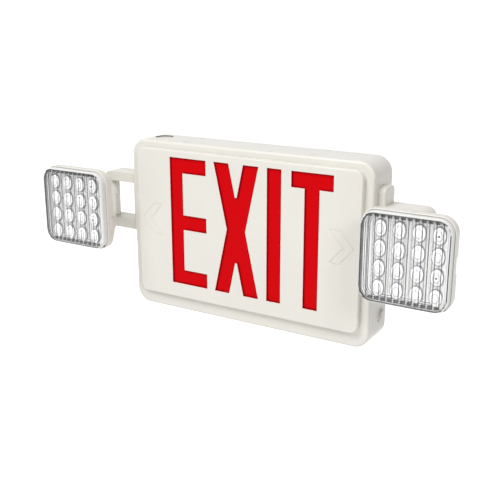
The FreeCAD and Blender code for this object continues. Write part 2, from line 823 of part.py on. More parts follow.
panX = d.boxWidth / 2 + d.panReach
armTop = d.bracketLift + d.armSpan / 2
armBottom = d.bracketLift - d.armSpan / 2


def makeBracket(name, side):
    """A yoke: a pad against the box's side and two arms that carry the lamp's pan pin."""
    body = newBody(name.title() + "Bracket")
    wall, face = d.boxWidth / 2, d.boxWidth / 2 + d.padThickness
    end = panX + d.armReach
    top, bottom = d.padHeight / 2, d.padHeight / -2
    upper, lower = d.armSpan / 2, d.armSpan / -2
    corners = [(wall, bottom), (face, bottom), (face, lower), (end, lower),
               (end, lower + d.armThickness), (face, lower + d.armThickness),
               (face, upper - d.armThickness), (end, upper - d.armThickness), (end, upper),
               (face, upper), (face, top), (wall, top)]
    profile = sketchAt(body, name + "BracketProfile", d.bracketOut - d.bracketDepth / 2,
                       z=d.bracketLift)
    polygon(profile, [(x * side, z) for x, z in corners])
    yoke = pad(body, name + "Yoke", profile, d.bracketDepth)

    def armEnd(edge):
        middle = edgeMiddle(edge)
        z = abs(middle.z - d.bracketLift.number)
        return abs(z - upper.number) < 0.01 and abs(abs(middle.x) - end.number) < 0.01
    rounded = roundOver(body, name + "ArmEnds", yoke, d.armEndRound, armEnd)

    def padEnd(edge):
        middle = edgeMiddle(edge)
        z = abs(middle.z - d.bracketLift.number)
        return abs(z - top.number) < 0.01 and abs(edge.Length - d.padThickness.number) < 0.01
    ends = roundOver(body, name + "PadEnds", rounded, d.padRound, padEnd)

    def padOutline(edge):
        middle = edgeMiddle(edge)
        z = abs(middle.z - d.bracketLift.number)
        flat = all(abs(abs(v.Point.x) - face.number) < 0.01 for v in edge.Vertexes)
        return flat and abs(abs(middle.x) - face.number) < 0.01 and z > upper.number + 0.1
    roundOver(body, name + "PadFace", ends, d.armRound, padOutline)

    bore = sketchAt(body, name + "PanBore", armTop - d.panPinSink, panX * side,
                    -d.bracketOut, role="XY_Plane")
    disc(bore, d.panPinRadius + d.pinClearance)
    pocket(body, name + "PanBoreCut", bore, d.armSpan)
    for i, end in enumerate((-0.5, 0.5)):
        hole = sketchAt(body, "%sBracketScrew%d" % (name, i), wall * side, -d.bracketOut,
                        d.bracketLift + d.bracketScrewSpread * end, role="YZ_Plane")
        disc(hole, d.bracketScrewRadius + d.pinClearance)
        pocket(body, "%sBracketScrewCut%d" % (name, i), hole,
               d.bracketScrewDepth + d.fitGap, outward=side > 0)
    node(body, name + "_bracket")


def makeBracketScrews(name, side):
    """Two screws from inside the box into the bracket's pad."""
    inner = d.boxWidth / 2 - d.frameWall
    outward, inward = ("+X", "-X") if side > 0 else ("-X", "+X")
    screws = []
    for i, end in enumerate((-0.5, 0.5)):
        z = d.bracketLift + d.bracketScrewSpread * end
        shank = rod("%sShank%d" % (name, i), inner * side, -d.bracketOut, z, outward,
                    d.bracketScrewRadius, d.frameWall + d.bracketScrewDepth)
        head = rod("%sHead%d" % (name, i), inner * side, -d.bracketOut, z, inward,
                   d.bracketScrewHead, d.bracketScrewCap)
        screws.append(fuse("%sBracketScrewPair%d" % (name, i), [shank, head]))
    node(group(name.title() + "BracketScrews", screws), name + "_bracket_screws")


def makePanPin(name, side):
    """The pin that the lamp pans on, pressed up through the lower arm."""
    pin = rod(name.title() + "PanPin", panX * side, -d.bracketOut, armBottom + d.panPinSink,
              "+Z", d.panPinRadius, d.armSpan - d.panPinSink * 2)
    node(pin, name + "_pan_pin")


# ---- lamp heads ---------------------------------------------------------------------------

headX = panX + d.headOffset
tiltOut = d.bracketOut + d.tiltForward
backOut = tiltOut + d.backStandoff
bezelOut = backOut + d.backDepth
rimOut = bezelOut + d.bezelDepth
lampBoardOut = bezelOut
reflectorOut = lampBoardOut + d.lampBoardThickness
reflectorSize = d.lampLensSize - (d.lampLensWall + d.fitGap) * 2
lampWell = d.lampLensSize + d.fitGap * 2


def makeKnuckle(name, side):
    """The column that pans between the arms, with the tongue that the head tilts on."""
    x = panX * side
    low = armBottom + d.armThickness + d.knuckleGap
    height = d.armSpan - (d.armThickness + d.knuckleGap) * 2
    title = name.title()
    column = rod(title + "Column", x, -d.bracketOut, low, "+Z", d.knuckleRadius, height)
    arm = box(title + "TongueArm", x - d.tongueWidth / 2, -tiltOut,
              d.bracketLift - d.tongueRadius, d.tongueWidth, d.tiltForward,
              d.tongueRadius * 2)
    tip = rod(title + "TongueTip", x - d.tongueWidth / 2, -tiltOut, d.bracketLift, "+X",
              d.tongueRadius, d.tongueWidth)
    panBore = rod(title + "ColumnBore", x, -d.bracketOut, low - d.knuckleGap, "+Z",
                  d.panPinRadius + d.pinClearance, d.armSpan)
    tiltBore = rod(title + "TongueBore", x - d.tongueWidth, -tiltOut, d.bracketLift, "+X",
                   d.tiltPinRadius + d.pinClearance, d.tongueWidth * 2)
    solid = fuse(title + "KnuckleBlank", [column, arm, tip])
    node(cut(title + "Knuckle", solid, [panBore, tiltBore]), name + "_knuckle")


def makeHeadShell(name, side):
    body = newBody(name.title() + "HeadShell")
    x, z = headX * side, d.headLift
    back = sketchAt(body, name + "ShellBack", backOut, x, z)
    roundRect(back, d.backSize, d.backSize, d.backCorner)
    front = sketchAt(body, name + "ShellFront", bezelOut, x, z)
    roundRect(front, d.bezelSize, d.bezelSize, d.bezelCorner)
    loft = body.newObject("PartDesign::AdditiveLoft", name + "ShellDome")
    loft.Profile = back
    loft.Sections = [front]
    doc.recompute()
    rim = sketchAt(body, name + "Bezel", bezelOut, x, z)
    roundRect(rim, d.bezelSize, d.bezelSize, d.bezelCorner)
    bezel = pad(body, name + "BezelPad", rim, d.bezelDepth)
    rounded = roundOver(body, name + "BezelEdge", bezel, d.bezelRound, atOut(rimOut))
    roundOver(body, name + "BackEdge", rounded, d.backRound, atOut(backOut))
    well = sketchAt(body, name + "LampWell", lampBoardOut, x, z)
    roundRect(well, lampWell, lampWell, d.lampLensCorner + d.fitGap)
    pocket(body, name + "LampWellCut", well, rimOut, outward=True)
    rear = sketchAt(body, name + "RearPocket", backOut + d.rearWall, x, z)
    roundRect(rear, d.rearPocket, d.rearPocket, d.backCorner)
    pocket(body, name + "RearPocketCut", rear, rimOut, outward=True)
    for i, end in enumerate((-0.5, 0.5)):
        notch = sketchAt(body, "%sSideNotch%d" % (name, i), bezelOut + d.sideNotchReach,
                         x + (d.bezelSize - d.sideNotch) * end, z)
        rectangle(notch, d.sideNotch, d.sideNotchHeight)
        pocket(body, "%sSideNotchCut%d" % (name, i), notch, d.backDepth)
    for i, (holeX, holeZ) in enumerate(clevisScrews(side)):
        hole = sketchAt(body, "%sBackHole%d" % (name, i), backOut, holeX, holeZ)
        disc(hole, d.clevisScrewRadius + d.pinClearance)
        pocket(body, "%sBackHoleCut%d" % (name, i), hole, d.rearWall * 2, outward=True)
    node(body, name + "_head_shell")


def clevisScrews(side):
    """The middles of the two screws that hold the clevis to the shell's back."""
    for end in (-0.5, 0.5):
        yield panX * side, d.bracketLift + d.clevisScrewSpread * end


def makeClevis(name, side):
    """The pair of ears, on a base against the shell's back, that the head nods on."""
    title = name.title()
    x, z = panX * side, d.bracketLift
    base = slab(title + "ClevisBase", backOut - d.clevisBase, d.clevisBase, d.clevisWidth,
                d.clevisHeight, d.clevisCorner, x, z)
    ears, tools = [], []
    for i, end in enumerate((-1, 1)):
        low = x + (d.tongueWidth / 2 + d.lugGap + d.lugThickness / 2) * end
        low = low - d.lugThickness / 2
        ears.append(rod("%sEar%d" % (title, i), low, -tiltOut, z, "+X", d.lugRadius,
                        d.lugThickness))
        ears.append(box("%sEarWeb%d" % (title, i), low, -backOut, z - d.lugRadius,
                        d.lugThickness, d.backStandoff, d.lugRadius * 2))
    tools.append(rod(title + "EarBore", x - d.clevisWidth / 2, -tiltOut, z, "+X",
                     d.tiltPinRadius + d.pinClearance, d.clevisWidth))
    screws = []
    for i, (holeX, holeZ) in enumerate(clevisScrews(side)):
        tools.append(rod("%sClevisHole%d" % (title, i), holeX, -tiltOut, holeZ, "-Y",
                         d.clevisScrewRadius + d.pinClearance, d.backStandoff * 2))
        under = d.clevisBase - backOut
        shank = rod("%sClevisShank%d" % (title, i), holeX, under, holeZ, "-Y",
                    d.clevisScrewRadius, d.clevisBase + d.rearWall)
        head = rod("%sClevisHead%d" % (title, i), holeX, under + d.clevisScrewCap, holeZ,
                   "-Y", d.clevisScrewHead, d.clevisScrewCap)
        screws.append(fuse("%sClevisScrew%d" % (title, i), [shank, head]))
    node(cut(title + "Clevis", fuse(title + "ClevisBlank", [base] + ears), tools),
         name + "_head_clevis")
    node(group(title + "ClevisScrews", screws), name + "_clevis_screws")


def makeTiltPin(name, side):
    reach = d.tongueWidth / 2 + d.lugGap + d.lugThickness
    x = panX * side
    title = name.title()
    shank = rod(title + "TiltShank", x - reach, -tiltOut, d.bracketLift, "+X",
                d.tiltPinRadius, reach * 2)
    caps = [rod(title + "TiltCap0", x + reach, -tiltOut, d.bracketLift, "+X",
                d.tiltPinHead, d.tiltPinHeadHeight),
            rod(title + "TiltCap1", x - reach, -tiltOut, d.bracketLift, "-X",
                d.tiltPinHead, d.tiltPinHeadHeight)]
    node(fuse(title + "TiltPin", [shank] + caps), name + "_tilt_screw")


def makeLampBoard(name, side):
    x, z = headX * side, d.headLift
    size = d.lampLensSize
    node(slab(name.title() + "LampBoard", lampBoardOut, d.lampBoardThickness, size, size,
              d.lampLensCorner, x, z), name + "_lamp_board")
    leds = [box("%sLampLed%d" % (name, i), lx - d.lampLedSize / 2,
                -reflectorOut - d.lampLedHeight, lz - d.lampLedSize / 2,
                d.lampLedSize, d.lampLedHeight, d.lampLedSize)
            for i, (lx, lz) in enumerate(cupPlaces(side))]
    node(group(name.title() + "LampLeds", leds), name + "_lamp_leds")


def cupPlaces(side):
    """The middles of the sixteen reflector cups of one head."""
    steps = (-1.5, -0.5, 0.5, 1.5)
    return [(headX * side + d.cupPitch * i, d.headLift + d.cupPitch * j)
            for j in steps for i in steps]


def makeReflector(name, side):
    x, z = headX * side, d.headLift
    plate = slab(name.title() + "ReflectorPlate", reflectorOut, d.reflectorDepth,
                 reflectorSize, reflectorSize, d.lampLensCorner - d.lampLensWall, x, z)
    cups = [cone("%sCup%d" % (name, i), cx, -reflectorOut, cz, "-Y", d.cupThroat,
                 d.cupMouth, d.reflectorDepth)
            for i, (cx, cz) in enumerate(cupPlaces(side))]
    node(cut(name.title() + "Reflector", plate, [group(name + "Cups", cups)]),
         name + "_reflector")


def makeLampLens(name, side):
    """A clear cover with upright flutes, open behind, that stands proud of the bezel."""
    body = newBody(name.title() + "LampLens")
    x, z = headX * side, d.headLift
    front = rimOut + d.lampLensProud
    outline = sketchAt(body, name + "LensOutline", reflectorOut, x, z)
    roundRect(outline, d.lampLensSize, d.lampLensSize, d.lampLensCorner)
    block = pad(body, name + "LensPad", outline, front - reflectorOut)
    roundOver(body, name + "LensEdge", block, d.lensRound, atOut(front))
    inside = sketchAt(body, name + "LensInside", reflectorOut, x, z)
    inner = d.lampLensSize - d.lampLensWall * 2
    roundRect(inside, inner, inner, d.lampLensCorner - d.lampLensWall)
    pocket(body, name + "LensHollow", inside, front - d.lampLensWall - reflectorOut,
           outward=True)
    row = d.flutePitch * (driving["fluteCount"] - 1)
    groove = sketchAt(body, name + "Flute", z + d.lampLensSize / 2, x - row / 2, -front,
                      role="XY_Plane")
    face, root = d.fluteWidth / 2, d.fluteRoot / 2
    polygon(groove, [(-face, -d.fluteDepth), (face, -d.fluteDepth), (face, zero),
                     (root, d.fluteDepth), (-root, d.fluteDepth), (-face, zero)])
    first = pocket(body, name + "FluteCut", groove, d.lampLensSize)
    flutes = body.newObject("PartDesign::LinearPattern", name + "Flutes")
    flutes.Originals = [first]
    flutes.Direction = (groove, ["H_Axis"])
    flutes.setExpression("Length", row.text)
    flutes.setExpression("Occurrences", "Dims.fluteCount")
    body.Tip = flutes
    doc.recompute()
    node(body, name + "_lamp_lens")


# ---- test button and charge indicator -----------------------------------------------------

def makeTestButton():
    face = d.boxWidth / 2
    inner = face - d.frameWall
    y = -d.buttonOut
    sleeve = d.collarRadius - d.collarFlange
    collar = rod("CollarFlange", face, y, buttonZ, "+X", d.collarRadius, d.collarProud)
    tube = rod("CollarTube", inner, y, buttonZ, "+X", sleeve, d.frameWall)
    bore = rod("CollarBore", inner, y, buttonZ, "+X", d.buttonRadius + d.buttonGap,
               d.frameWall + d.collarProud)
    blank = fuse("CollarBlank", [collar, tube])
    node(cut("ButtonCollar", blank, [bore]), "button_collar")
    depth = d.frameWall + d.collarProud + d.buttonProud
    cap = rod("ButtonCap", inner, y, buttonZ, "+X", d.buttonRadius, depth)
    rim = rod("ButtonRim", inner - d.buttonRim, y, buttonZ, "+X", sleeve, d.buttonRim)
    stem = rod("ButtonStem", inner - d.buttonStem, y, buttonZ, "+X", d.buttonStemRadius,
               d.buttonStem)
    node(fuse("TestButton", [cap, rim, stem]), "test_button")
    top = inner - d.buttonStem + d.buttonTravel * 2
    size = d.switchSize
    case = box("SwitchCase", top - d.switchDepth, y - size / 2, buttonZ - size / 2,
               d.switchDepth, size, size)
    seat = rod("SwitchBore", top - d.switchBore, y, buttonZ, "+X",
               d.buttonStemRadius + d.buttonGap, d.switchBore)
    foot = box("SwitchFoot", top - d.switchDepth, y + size / 2, buttonZ - size / 2,
               d.switchDepth, d.buttonOut - size / 2 - d.plateThickness, size)
    shell = fuse("SwitchShell", [case, foot])
    node(cut("TestSwitch", shell, [seat]), "test_switch")
    stem = rod("IndicatorRod", inner - d.indicatorLength, -indicatorOut, indicatorZ,
               "+X", d.indicatorRadius, d.indicatorLength + d.frameWall)
    ring = rod("IndicatorRing", inner - d.indicatorRadius, -indicatorOut, indicatorZ,
               "+X", d.indicatorRing, d.indicatorRadius)
    node(fuse("Indicator", [stem, ring]), "charge_indicator")


makeFrontCover()
makeHousingFrame()
makeBackPlate()
makeLightBox()
makeLedStrips()
makeCharger()
makeBattery()
makeTestButton()
for side, name in ((1, "right"), (-1, "left")):
    makeBracket(name, side)
    makeBracketScrews(name, side)
    makePanPin(name, side)
    makeKnuckle(name, side)
    makeHeadShell(name, side)
    makeClevis(name, side)
    makeTiltPin(name, side)
    makeLampBoard(name, side)
    makeReflector(name, side)
    makeLampLens(name, side)


# ---- checks and files ---------------------------------------------------------------------

doc.recompute()
failed = [o.Name for o in doc.Objects if "Invalid" in o.State or "Error" in o.State]
if failed:
    raise RuntimeError("failed objects: " + ", ".join(failed))
for piece in nodes:
    if piece.Shape.isNull() or not piece.Shape.isValid():
        raise RuntimeError("bad shape: " + piece.Label)

os.makedirs("parts", exist_ok=True)
for piece in nodes:
    piece.Shape.exportStep("parts/%s.step" % piece.Label)
    print(piece.Label, len(piece.Shape.Solids), round(piece.Shape.Volume, 1))
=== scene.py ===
import json
import math

import bmesh
import bpy
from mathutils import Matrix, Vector

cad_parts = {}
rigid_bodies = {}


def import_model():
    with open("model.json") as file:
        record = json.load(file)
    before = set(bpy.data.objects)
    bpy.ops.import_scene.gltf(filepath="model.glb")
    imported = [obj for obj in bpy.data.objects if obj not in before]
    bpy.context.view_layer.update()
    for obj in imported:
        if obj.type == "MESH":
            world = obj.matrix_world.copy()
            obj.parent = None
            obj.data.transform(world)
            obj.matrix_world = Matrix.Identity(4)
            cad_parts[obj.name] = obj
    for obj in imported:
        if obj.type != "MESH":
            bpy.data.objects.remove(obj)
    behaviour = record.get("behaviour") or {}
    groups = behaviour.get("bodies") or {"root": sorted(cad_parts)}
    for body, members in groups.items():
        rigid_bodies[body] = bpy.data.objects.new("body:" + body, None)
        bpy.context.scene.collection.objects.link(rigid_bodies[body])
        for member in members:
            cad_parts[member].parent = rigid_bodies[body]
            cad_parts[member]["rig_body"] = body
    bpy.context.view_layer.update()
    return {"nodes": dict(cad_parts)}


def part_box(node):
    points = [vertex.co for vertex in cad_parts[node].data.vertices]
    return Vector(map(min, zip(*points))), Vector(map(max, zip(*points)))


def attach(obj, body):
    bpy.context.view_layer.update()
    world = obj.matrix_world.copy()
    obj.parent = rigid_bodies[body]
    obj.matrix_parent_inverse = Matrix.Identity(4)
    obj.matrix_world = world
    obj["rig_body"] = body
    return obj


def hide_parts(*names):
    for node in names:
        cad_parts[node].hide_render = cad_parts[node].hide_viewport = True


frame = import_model()
nodes = frame["nodes"]
mm = 0.001
print("frame loaded:", len(nodes), "nodes")

# small helpers


def linearColour(hexText):
    straight = []
    for i in (1, 3, 5):
        c = int(hexText[i:i + 2], 16) / 255
        straight.append(c / 12.92 if c <= 0.04045 else ((c + 0.055) / 1.055) ** 2.4)
    return (*straight, 1.0)


def addNode(tree, kind, settings=None, links=None):
    node = tree.nodes.new(kind)
    for name, value in (settings or {}).items():
        if isinstance(name, str) and hasattr(node, name):
            setattr(node, name, value)
        else:
            node.inputs[name].default_value = value
    for name, source in (links or {}).items():
        tree.links.new(source, node.inputs[name])
    return node


def newMaterial(name):
    material = bpy.data.materials.new(name)
    material.use_nodes = True
    material.node_tree.nodes.clear()
    return material, material.node_tree


def closeMaterial(tree, shader):
    addNode(tree, "ShaderNodeOutputMaterial", links={"Surface": shader})


def newObject(name, data):
    made = bpy.data.objects.new(name, data)
    bpy.context.scene.collection.objects.link(made)
    return made


def placeObject(name, mesh, body, material=None):
    piece = newObject(name, mesh)
    if material:
        mesh.materials.clear()
        mesh.materials.append(material)
    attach(piece, body)
    return piece


def smoothMesh(mesh, degrees):
    mesh.polygons.foreach_set("use_smooth", [True] * len(mesh.polygons))
    mesh.set_sharp_from_angle(angle=math.radians(degrees))
    mesh.update()


def bakeModifiers(holder, name):
    # the finished mesh of an object with live modifiers, with the modifiers gone
    bpy.context.view_layer.update()
    evaluated = holder.evaluated_get(bpy.context.evaluated_depsgraph_get())
    mesh = bpy.data.meshes.new_from_object(evaluated)
    mesh.name = name
    bpy.data.objects.remove(holder)
    return mesh


def bridgeLoops(shape, loops, closed=False):
    # four-sided faces between each loop of points and the next
    faces = []
    for first, second in zip(loops, loops[1:] + (loops[:1] if closed else [])):
        for k in range(len(first)):
            follow = (k + 1) % len(first)
            faces.append(shape.faces.new([first[k], first[follow], second[follow], second[k]]))
    return faces


def finishMesh(shape, name, degrees=None):
    # the mesh of a built shape, its normals outwards, shaded soft below an angle
    bmesh.ops.recalc_face_normals(shape, faces=shape.faces)
    mesh = bpy.data.meshes.new(name)
    shape.to_mesh(mesh)
    shape.free()
    if degrees:
        smoothMesh(mesh, degrees)
    return mesh


def cappedMesh(shape, rings, name, degrees=None):
    bridgeLoops(shape, rings)
    shape.faces.new(rings[0])
    shape.faces.new(rings[-1])
    return finishMesh(shape, name, degrees)


def cornersAndMiddle(nodeName):
    low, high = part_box(nodeName)
    return low, high, (low + high) / 2


# camera, lamps and stage

cameraView = {
    "place": (0.4655, -0.8099, 0.25575),
    "heading": (-0.4924, 0.8214, -0.2880),
    "lens": 59.04,
    "sensor": 36,
}


def makeCamera():
    data = bpy.data.cameras.new("productCamera")
    data.lens = cameraView["lens"]
    data.sensor_width = cameraView["sensor"]
    camera = newObject("productCamera", data)
    camera.location = cameraView["place"]
    camera.rotation_euler = Vector(cameraView["heading"]).to_track_quat("-Z", "Y").to_euler()
    bpy.context.scene.camera = camera


studio = {
    "skyStrength": 0.36,
    "floorGlow": 0.68,  # lifts the floor to white where it is looked at
    "floorHeight": -0.42,
    "floorSize": 9.0,
    "floorColour": "#FFFFFF",
    "lamps": {
        # name: place, aim, size in m, watts
        "keyLamp": ((-0.55, -1.35, 1.95), (0.0, 0.0, 0.0), 1.2, 37.0),
        "sideLamp": ((1.3, -1.15, 0.95), (0.1, 0.0, 0.0), 0.5, 8.0),
    },
}


def whiteToEye(tree):
    # 1 for a ray that looks at the backdrop straight, in a reflection or through glass
    path = addNode(tree, "ShaderNodeLightPath")
    first = addNode(tree, "ShaderNodeMath", {"operation": "MAXIMUM"},
                    {0: path.outputs["Is Camera Ray"], 1: path.outputs["Is Glossy Ray"]})
    both = addNode(tree, "ShaderNodeMath", {"operation": "MAXIMUM"},
                   {0: first.outputs[0], 1: path.outputs["Is Transmission Ray"]})
    return both.outputs[0]


def makeStage():
    world = bpy.data.worlds.new("studioSky")
    bpy.context.scene.world = world
    world.use_nodes = True
    tree = world.node_tree
    tree.nodes.clear()
    light = addNode(tree, "ShaderNodeBackground", {"Color": (1, 1, 1, 1),
                                                   "Strength": studio["skyStrength"]})
    seen = addNode(tree, "ShaderNodeBackground", {"Color": (1, 1, 1, 1), "Strength": 1.0})
    mix = addNode(tree, "ShaderNodeMixShader", links={0: whiteToEye(tree), 1: light.outputs[0],
                                                      2: seen.outputs[0]})
    addNode(tree, "ShaderNodeOutputWorld", links={"Surface": mix.outputs[0]})

    half = studio["floorSize"] / 2
    mesh = bpy.data.meshes.new("paleFloor")
    z = studio["floorHeight"]
    mesh.from_pydata([(-half, -half, z), (half, -half, z), (half, half, z), (-half, half, z)],
                     [], [(0, 1, 2, 3)])
    floor = newObject("paleFloor", mesh)
    material, tree = newMaterial("paleFloorPaint")
    paint = addNode(tree, "ShaderNodeBsdfDiffuse", {"Color": linearColour(studio["floorColour"])})
    glow = addNode(tree, "ShaderNodeEmission", {"Color": (1, 1, 1, 1),
                                                "Strength": studio["floorGlow"]})
    lifted = addNode(tree, "ShaderNodeAddShader", links={0: paint.outputs[0], 1: glow.outputs[0]})
    mix = addNode(tree, "ShaderNodeMixShader", links={0: whiteToEye(tree), 1: paint.outputs[0],
                                                      2: lifted.outputs[0]})
    closeMaterial(tree, mix.outputs[0])
    mesh.materials.append(material)

    for name, (place, aim, size, watts) in studio["lamps"].items():
        data = bpy.data.lights.new(name, "AREA")
        data.shape = "SQUARE"
        data.size = size
        data.energy = watts
        lamp = newObject(name, data)
        lamp.location = place
        lamp.rotation_euler = (Vector(aim) - Vector(place)).to_track_quat("-Z", "Y").to_euler()
    bpy.context.scene.view_settings.view_transform = "Standard"


makeCamera()
makeStage()
print("camera and stage ready")

# materials


def mouldedPlastic(name, colour, roughness=0.34, grainMm=0.9, grainDepthMm=0.012,
                   darkestPaintedShade=0.5):
    # injection-moulded plastic: an even colour with a faint eroded-steel grain that breaks
    # up the highlights; the true grain is about 0.1 mm and is drawn coarser so that it shows.
    # Painted shade: an occlusion mask draws the seams and the foot of each step a little darker,
    # where shade falls.
    # The wrapped, masked and lacquered parts inside have the same even, faintly grained skin
    material, tree = newMaterial(name)
    place = addNode(tree, "ShaderNodeTexCoord")
    grain = addNode(tree, "ShaderNodeTexNoise", {"Scale": 1 / (grainMm * mm), "Detail": 3.0,
                                                 "Roughness": 0.6},
                    {"Vector": place.outputs["Object"]})
    bump = addNode(tree, "ShaderNodeBump", {"Distance": grainDepthMm * mm, "Strength": 1.0},
                   {"Height": grain.outputs["Fac"]})
    flow = addNode(tree, "ShaderNodeTexNoise", {"Scale": 1 / (60 * mm), "Detail": 2.0},
                   {"Vector": place.outputs["Object"]})
    tone = addNode(tree, "ShaderNodeMapRange", {"From Min": 0.3, "From Max": 0.7,
                                                "To Min": 0.97, "To Max": 1.0},
                   {"Value": flow.outputs["Fac"]})
    tint = addNode(tree, "ShaderNodeMix", {"data_type": "RGBA", "blend_type": "MULTIPLY",
                                           0: 1.0, 6: linearColour(colour)},
                   {7: tone.outputs[0]})
    # painted shade: ambient occlusion darkens the colour in the seams and at the foot of each
    # step
    nook = addNode(tree, "ShaderNodeAmbientOcclusion", {"samples": 8, "Distance": 5 * mm})
    paintedNookShade = addNode(tree, "ShaderNodeMapRange", {"From Min": 0.2, "From Max": 0.62,
                                                "To Min": darkestPaintedShade, "To Max": 1.0},
                   {"Value": nook.outputs["AO"]})
    paintedShadeColour = addNode(tree, "ShaderNodeMix", {"data_type": "RGBA", "blend_type": "MULTIPLY",
                                            0: 1.0},
                    {6: tint.outputs[2], 7: paintedNookShade.outputs[0]})
    sheen = addNode(tree, "ShaderNodeMapRange", {"From Min": 0.3, "From Max": 0.7,
                                                 "To Min": roughness - 0.04,
                                                 "To Max": roughness + 0.05},
                    {"Value": grain.outputs["Fac"]})
    shader = addNode(tree, "ShaderNodeBsdfPrincipled", {"IOR": 1.53},
                     {"Base Color": paintedShadeColour.outputs[2], "Roughness": sheen.outputs[0],
                      "Normal": bump.outputs[0]})
    closeMaterial(tree, shader.outputs[0])
    return material


def platedSteel(name):
    # bright zinc plate on steel: fine drawn streaks, slightly cloudy
    material, tree = newMaterial(name)
    place = addNode(tree, "ShaderNodeTexCoord")
    cloud = addNode(tree, "ShaderNodeTexNoise", {"Scale": 1 / (1.5 * mm), "Detail": 4.0},
                    {"Vector": place.outputs["Object"]})
    rough = addNode(tree, "ShaderNodeMapRange", {"To Min": 0.24, "To Max": 0.42},
                    {"Value": cloud.outputs["Fac"]})
    bump = addNode(tree, "ShaderNodeBump", {"Distance": 0.004 * mm},
                   {"Height": cloud.outputs["Fac"]})
    shader = addNode(tree, "ShaderNodeBsdfPrincipled",
                     {"Base Color": linearColour("#C6C8C6"), "Metallic": 1.0},
                     {"Roughness": rough.outputs[0], "Normal": bump.outputs[0]})
    closeMaterial(tree, shader.outputs[0])
    return material


def metallisedPlastic(name, colour, metal):
    # aluminium evaporated on moulded plastic: nearly a mirror, a little grey and hazy; the
    # lower metal is, the less of a mirror it makes and the more of its own colour shows
    material, tree = newMaterial(name)
    place = addNode(tree, "ShaderNodeTexCoord")
    haze = addNode(tree, "ShaderNodeTexNoise", {"Scale": 1 / (3 * mm), "Detail": 3.0},
                   {"Vector": place.outputs["Object"]})
    rough = addNode(tree, "ShaderNodeMapRange", {"To Min": 0.16, "To Max": 0.30},
                    {"Value": haze.outputs["Fac"]})
    bump = addNode(tree, "ShaderNodeBump", {"Distance": 0.02 * mm},
                   {"Height": haze.outputs["Fac"]})
    shader = addNode(tree, "ShaderNodeBsdfPrincipled",
                     {"Base Color": linearColour(colour), "Metallic": metal},
                     {"Roughness": rough.outputs[0], "Normal": bump.outputs[0]})
    closeMaterial(tree, shader.outputs[0])
    return material


def clearPlastic(name, tint):
    # clear moulded polycarbonate: bends what is behind it and lets lamp light in; the dark lines
    # along the sharp roots between its flutes, where the lens sends the light aside, are painted
    # shade in its colour
    material, tree = newMaterial(name)
    near = addNode(tree, "ShaderNodeAttribute", {"attribute_name": "cusp"})
    cusp = addNode(tree, "ShaderNodeMapRange", {"From Min": 0.12, "From Max": 0.55},
                   {"Value": near.outputs["Fac"]})
    # painted shade: the lens's colour darkens to near-black along the marked flute roots
    shade = addNode(tree, "ShaderNodeMix", {"data_type": "RGBA", 6: linearColour(tint),
                                            7: linearColour("#141516")},
                    {0: cusp.outputs[0]})
    place = addNode(tree, "ShaderNodeTexCoord")
    ripple = addNode(tree, "ShaderNodeTexNoise", {"Scale": 1 / (9 * mm), "Detail": 1.0},
                     {"Vector": place.outputs["Object"]})
    bump = addNode(tree, "ShaderNodeBump", {"Distance": 0.03 * mm},
                   {"Height": ripple.outputs["Fac"]})
    glass = addNode(tree, "ShaderNodeBsdfPrincipled",
                    {"Roughness": 0.02, "IOR": 1.49, "Transmission Weight": 1.0},
                    {"Base Color": shade.outputs[2], "Normal": bump.outputs[0]})
    through = addNode(tree, "ShaderNodeBsdfTransparent", {"Color": linearColour(tint)})
    path = addNode(tree, "ShaderNodeLightPath")
    mix = addNode(tree, "ShaderNodeMixShader",
                  links={0: path.outputs["Is Shadow Ray"], 1: glass.outputs[0],
                         2: through.outputs[0]})
    closeMaterial(tree, mix.outputs[0])
    return material


def paintedBubbleOptic(name):
    # the small clear dome over each lamp LED, drawn opaque: the white of the board and die below
    # it as a bright oval, a thin grey ring part of the way out and a grey rim are painted
    # refraction in its colour, and it has a faint painted glow though the LEDs are unlit
    material, tree = newMaterial(name)
    reach = addNode(tree, "ShaderNodeAttribute", {"attribute_name": "reach"})
    ramp = addNode(tree, "ShaderNodeValToRGB", links={"Fac": reach.outputs["Fac"]})
    stops = [(0.0, "#C4C5C7"), (0.05, "#D8D8DA"), (0.10, "#FFFFFF"), (0.40, "#F6F6F6"),
             (0.50, "#B4B5B7"), (0.56, "#C4C5C7"), (0.62, "#FFFFFF"), (0.84, "#FFFFFF"),
             (0.90, "#808184"), (1.0, "#6E6F72")]
    ramp.color_ramp.elements[1].position = stops[-1][0]
    ramp.color_ramp.elements[1].color = linearColour(stops[-1][1])
    ramp.color_ramp.elements[0].color = linearColour(stops[0][1])
    for place, colour in stops[1:-1]:
        ramp.color_ramp.elements.new(place).color = linearColour(colour)
    # painted glow: a faint emission in the ramp's colour, though the LEDs are unlit
    shader = addNode(tree, "ShaderNodeBsdfPrincipled",
                     {"Roughness": 0.12, "IOR": 1.49, "Emission Strength": 0.08},
                     {"Base Color": ramp.outputs[0], "Emission Color": ramp.outputs[0]})
    closeMaterial(tree, shader.outputs[0])
    return material


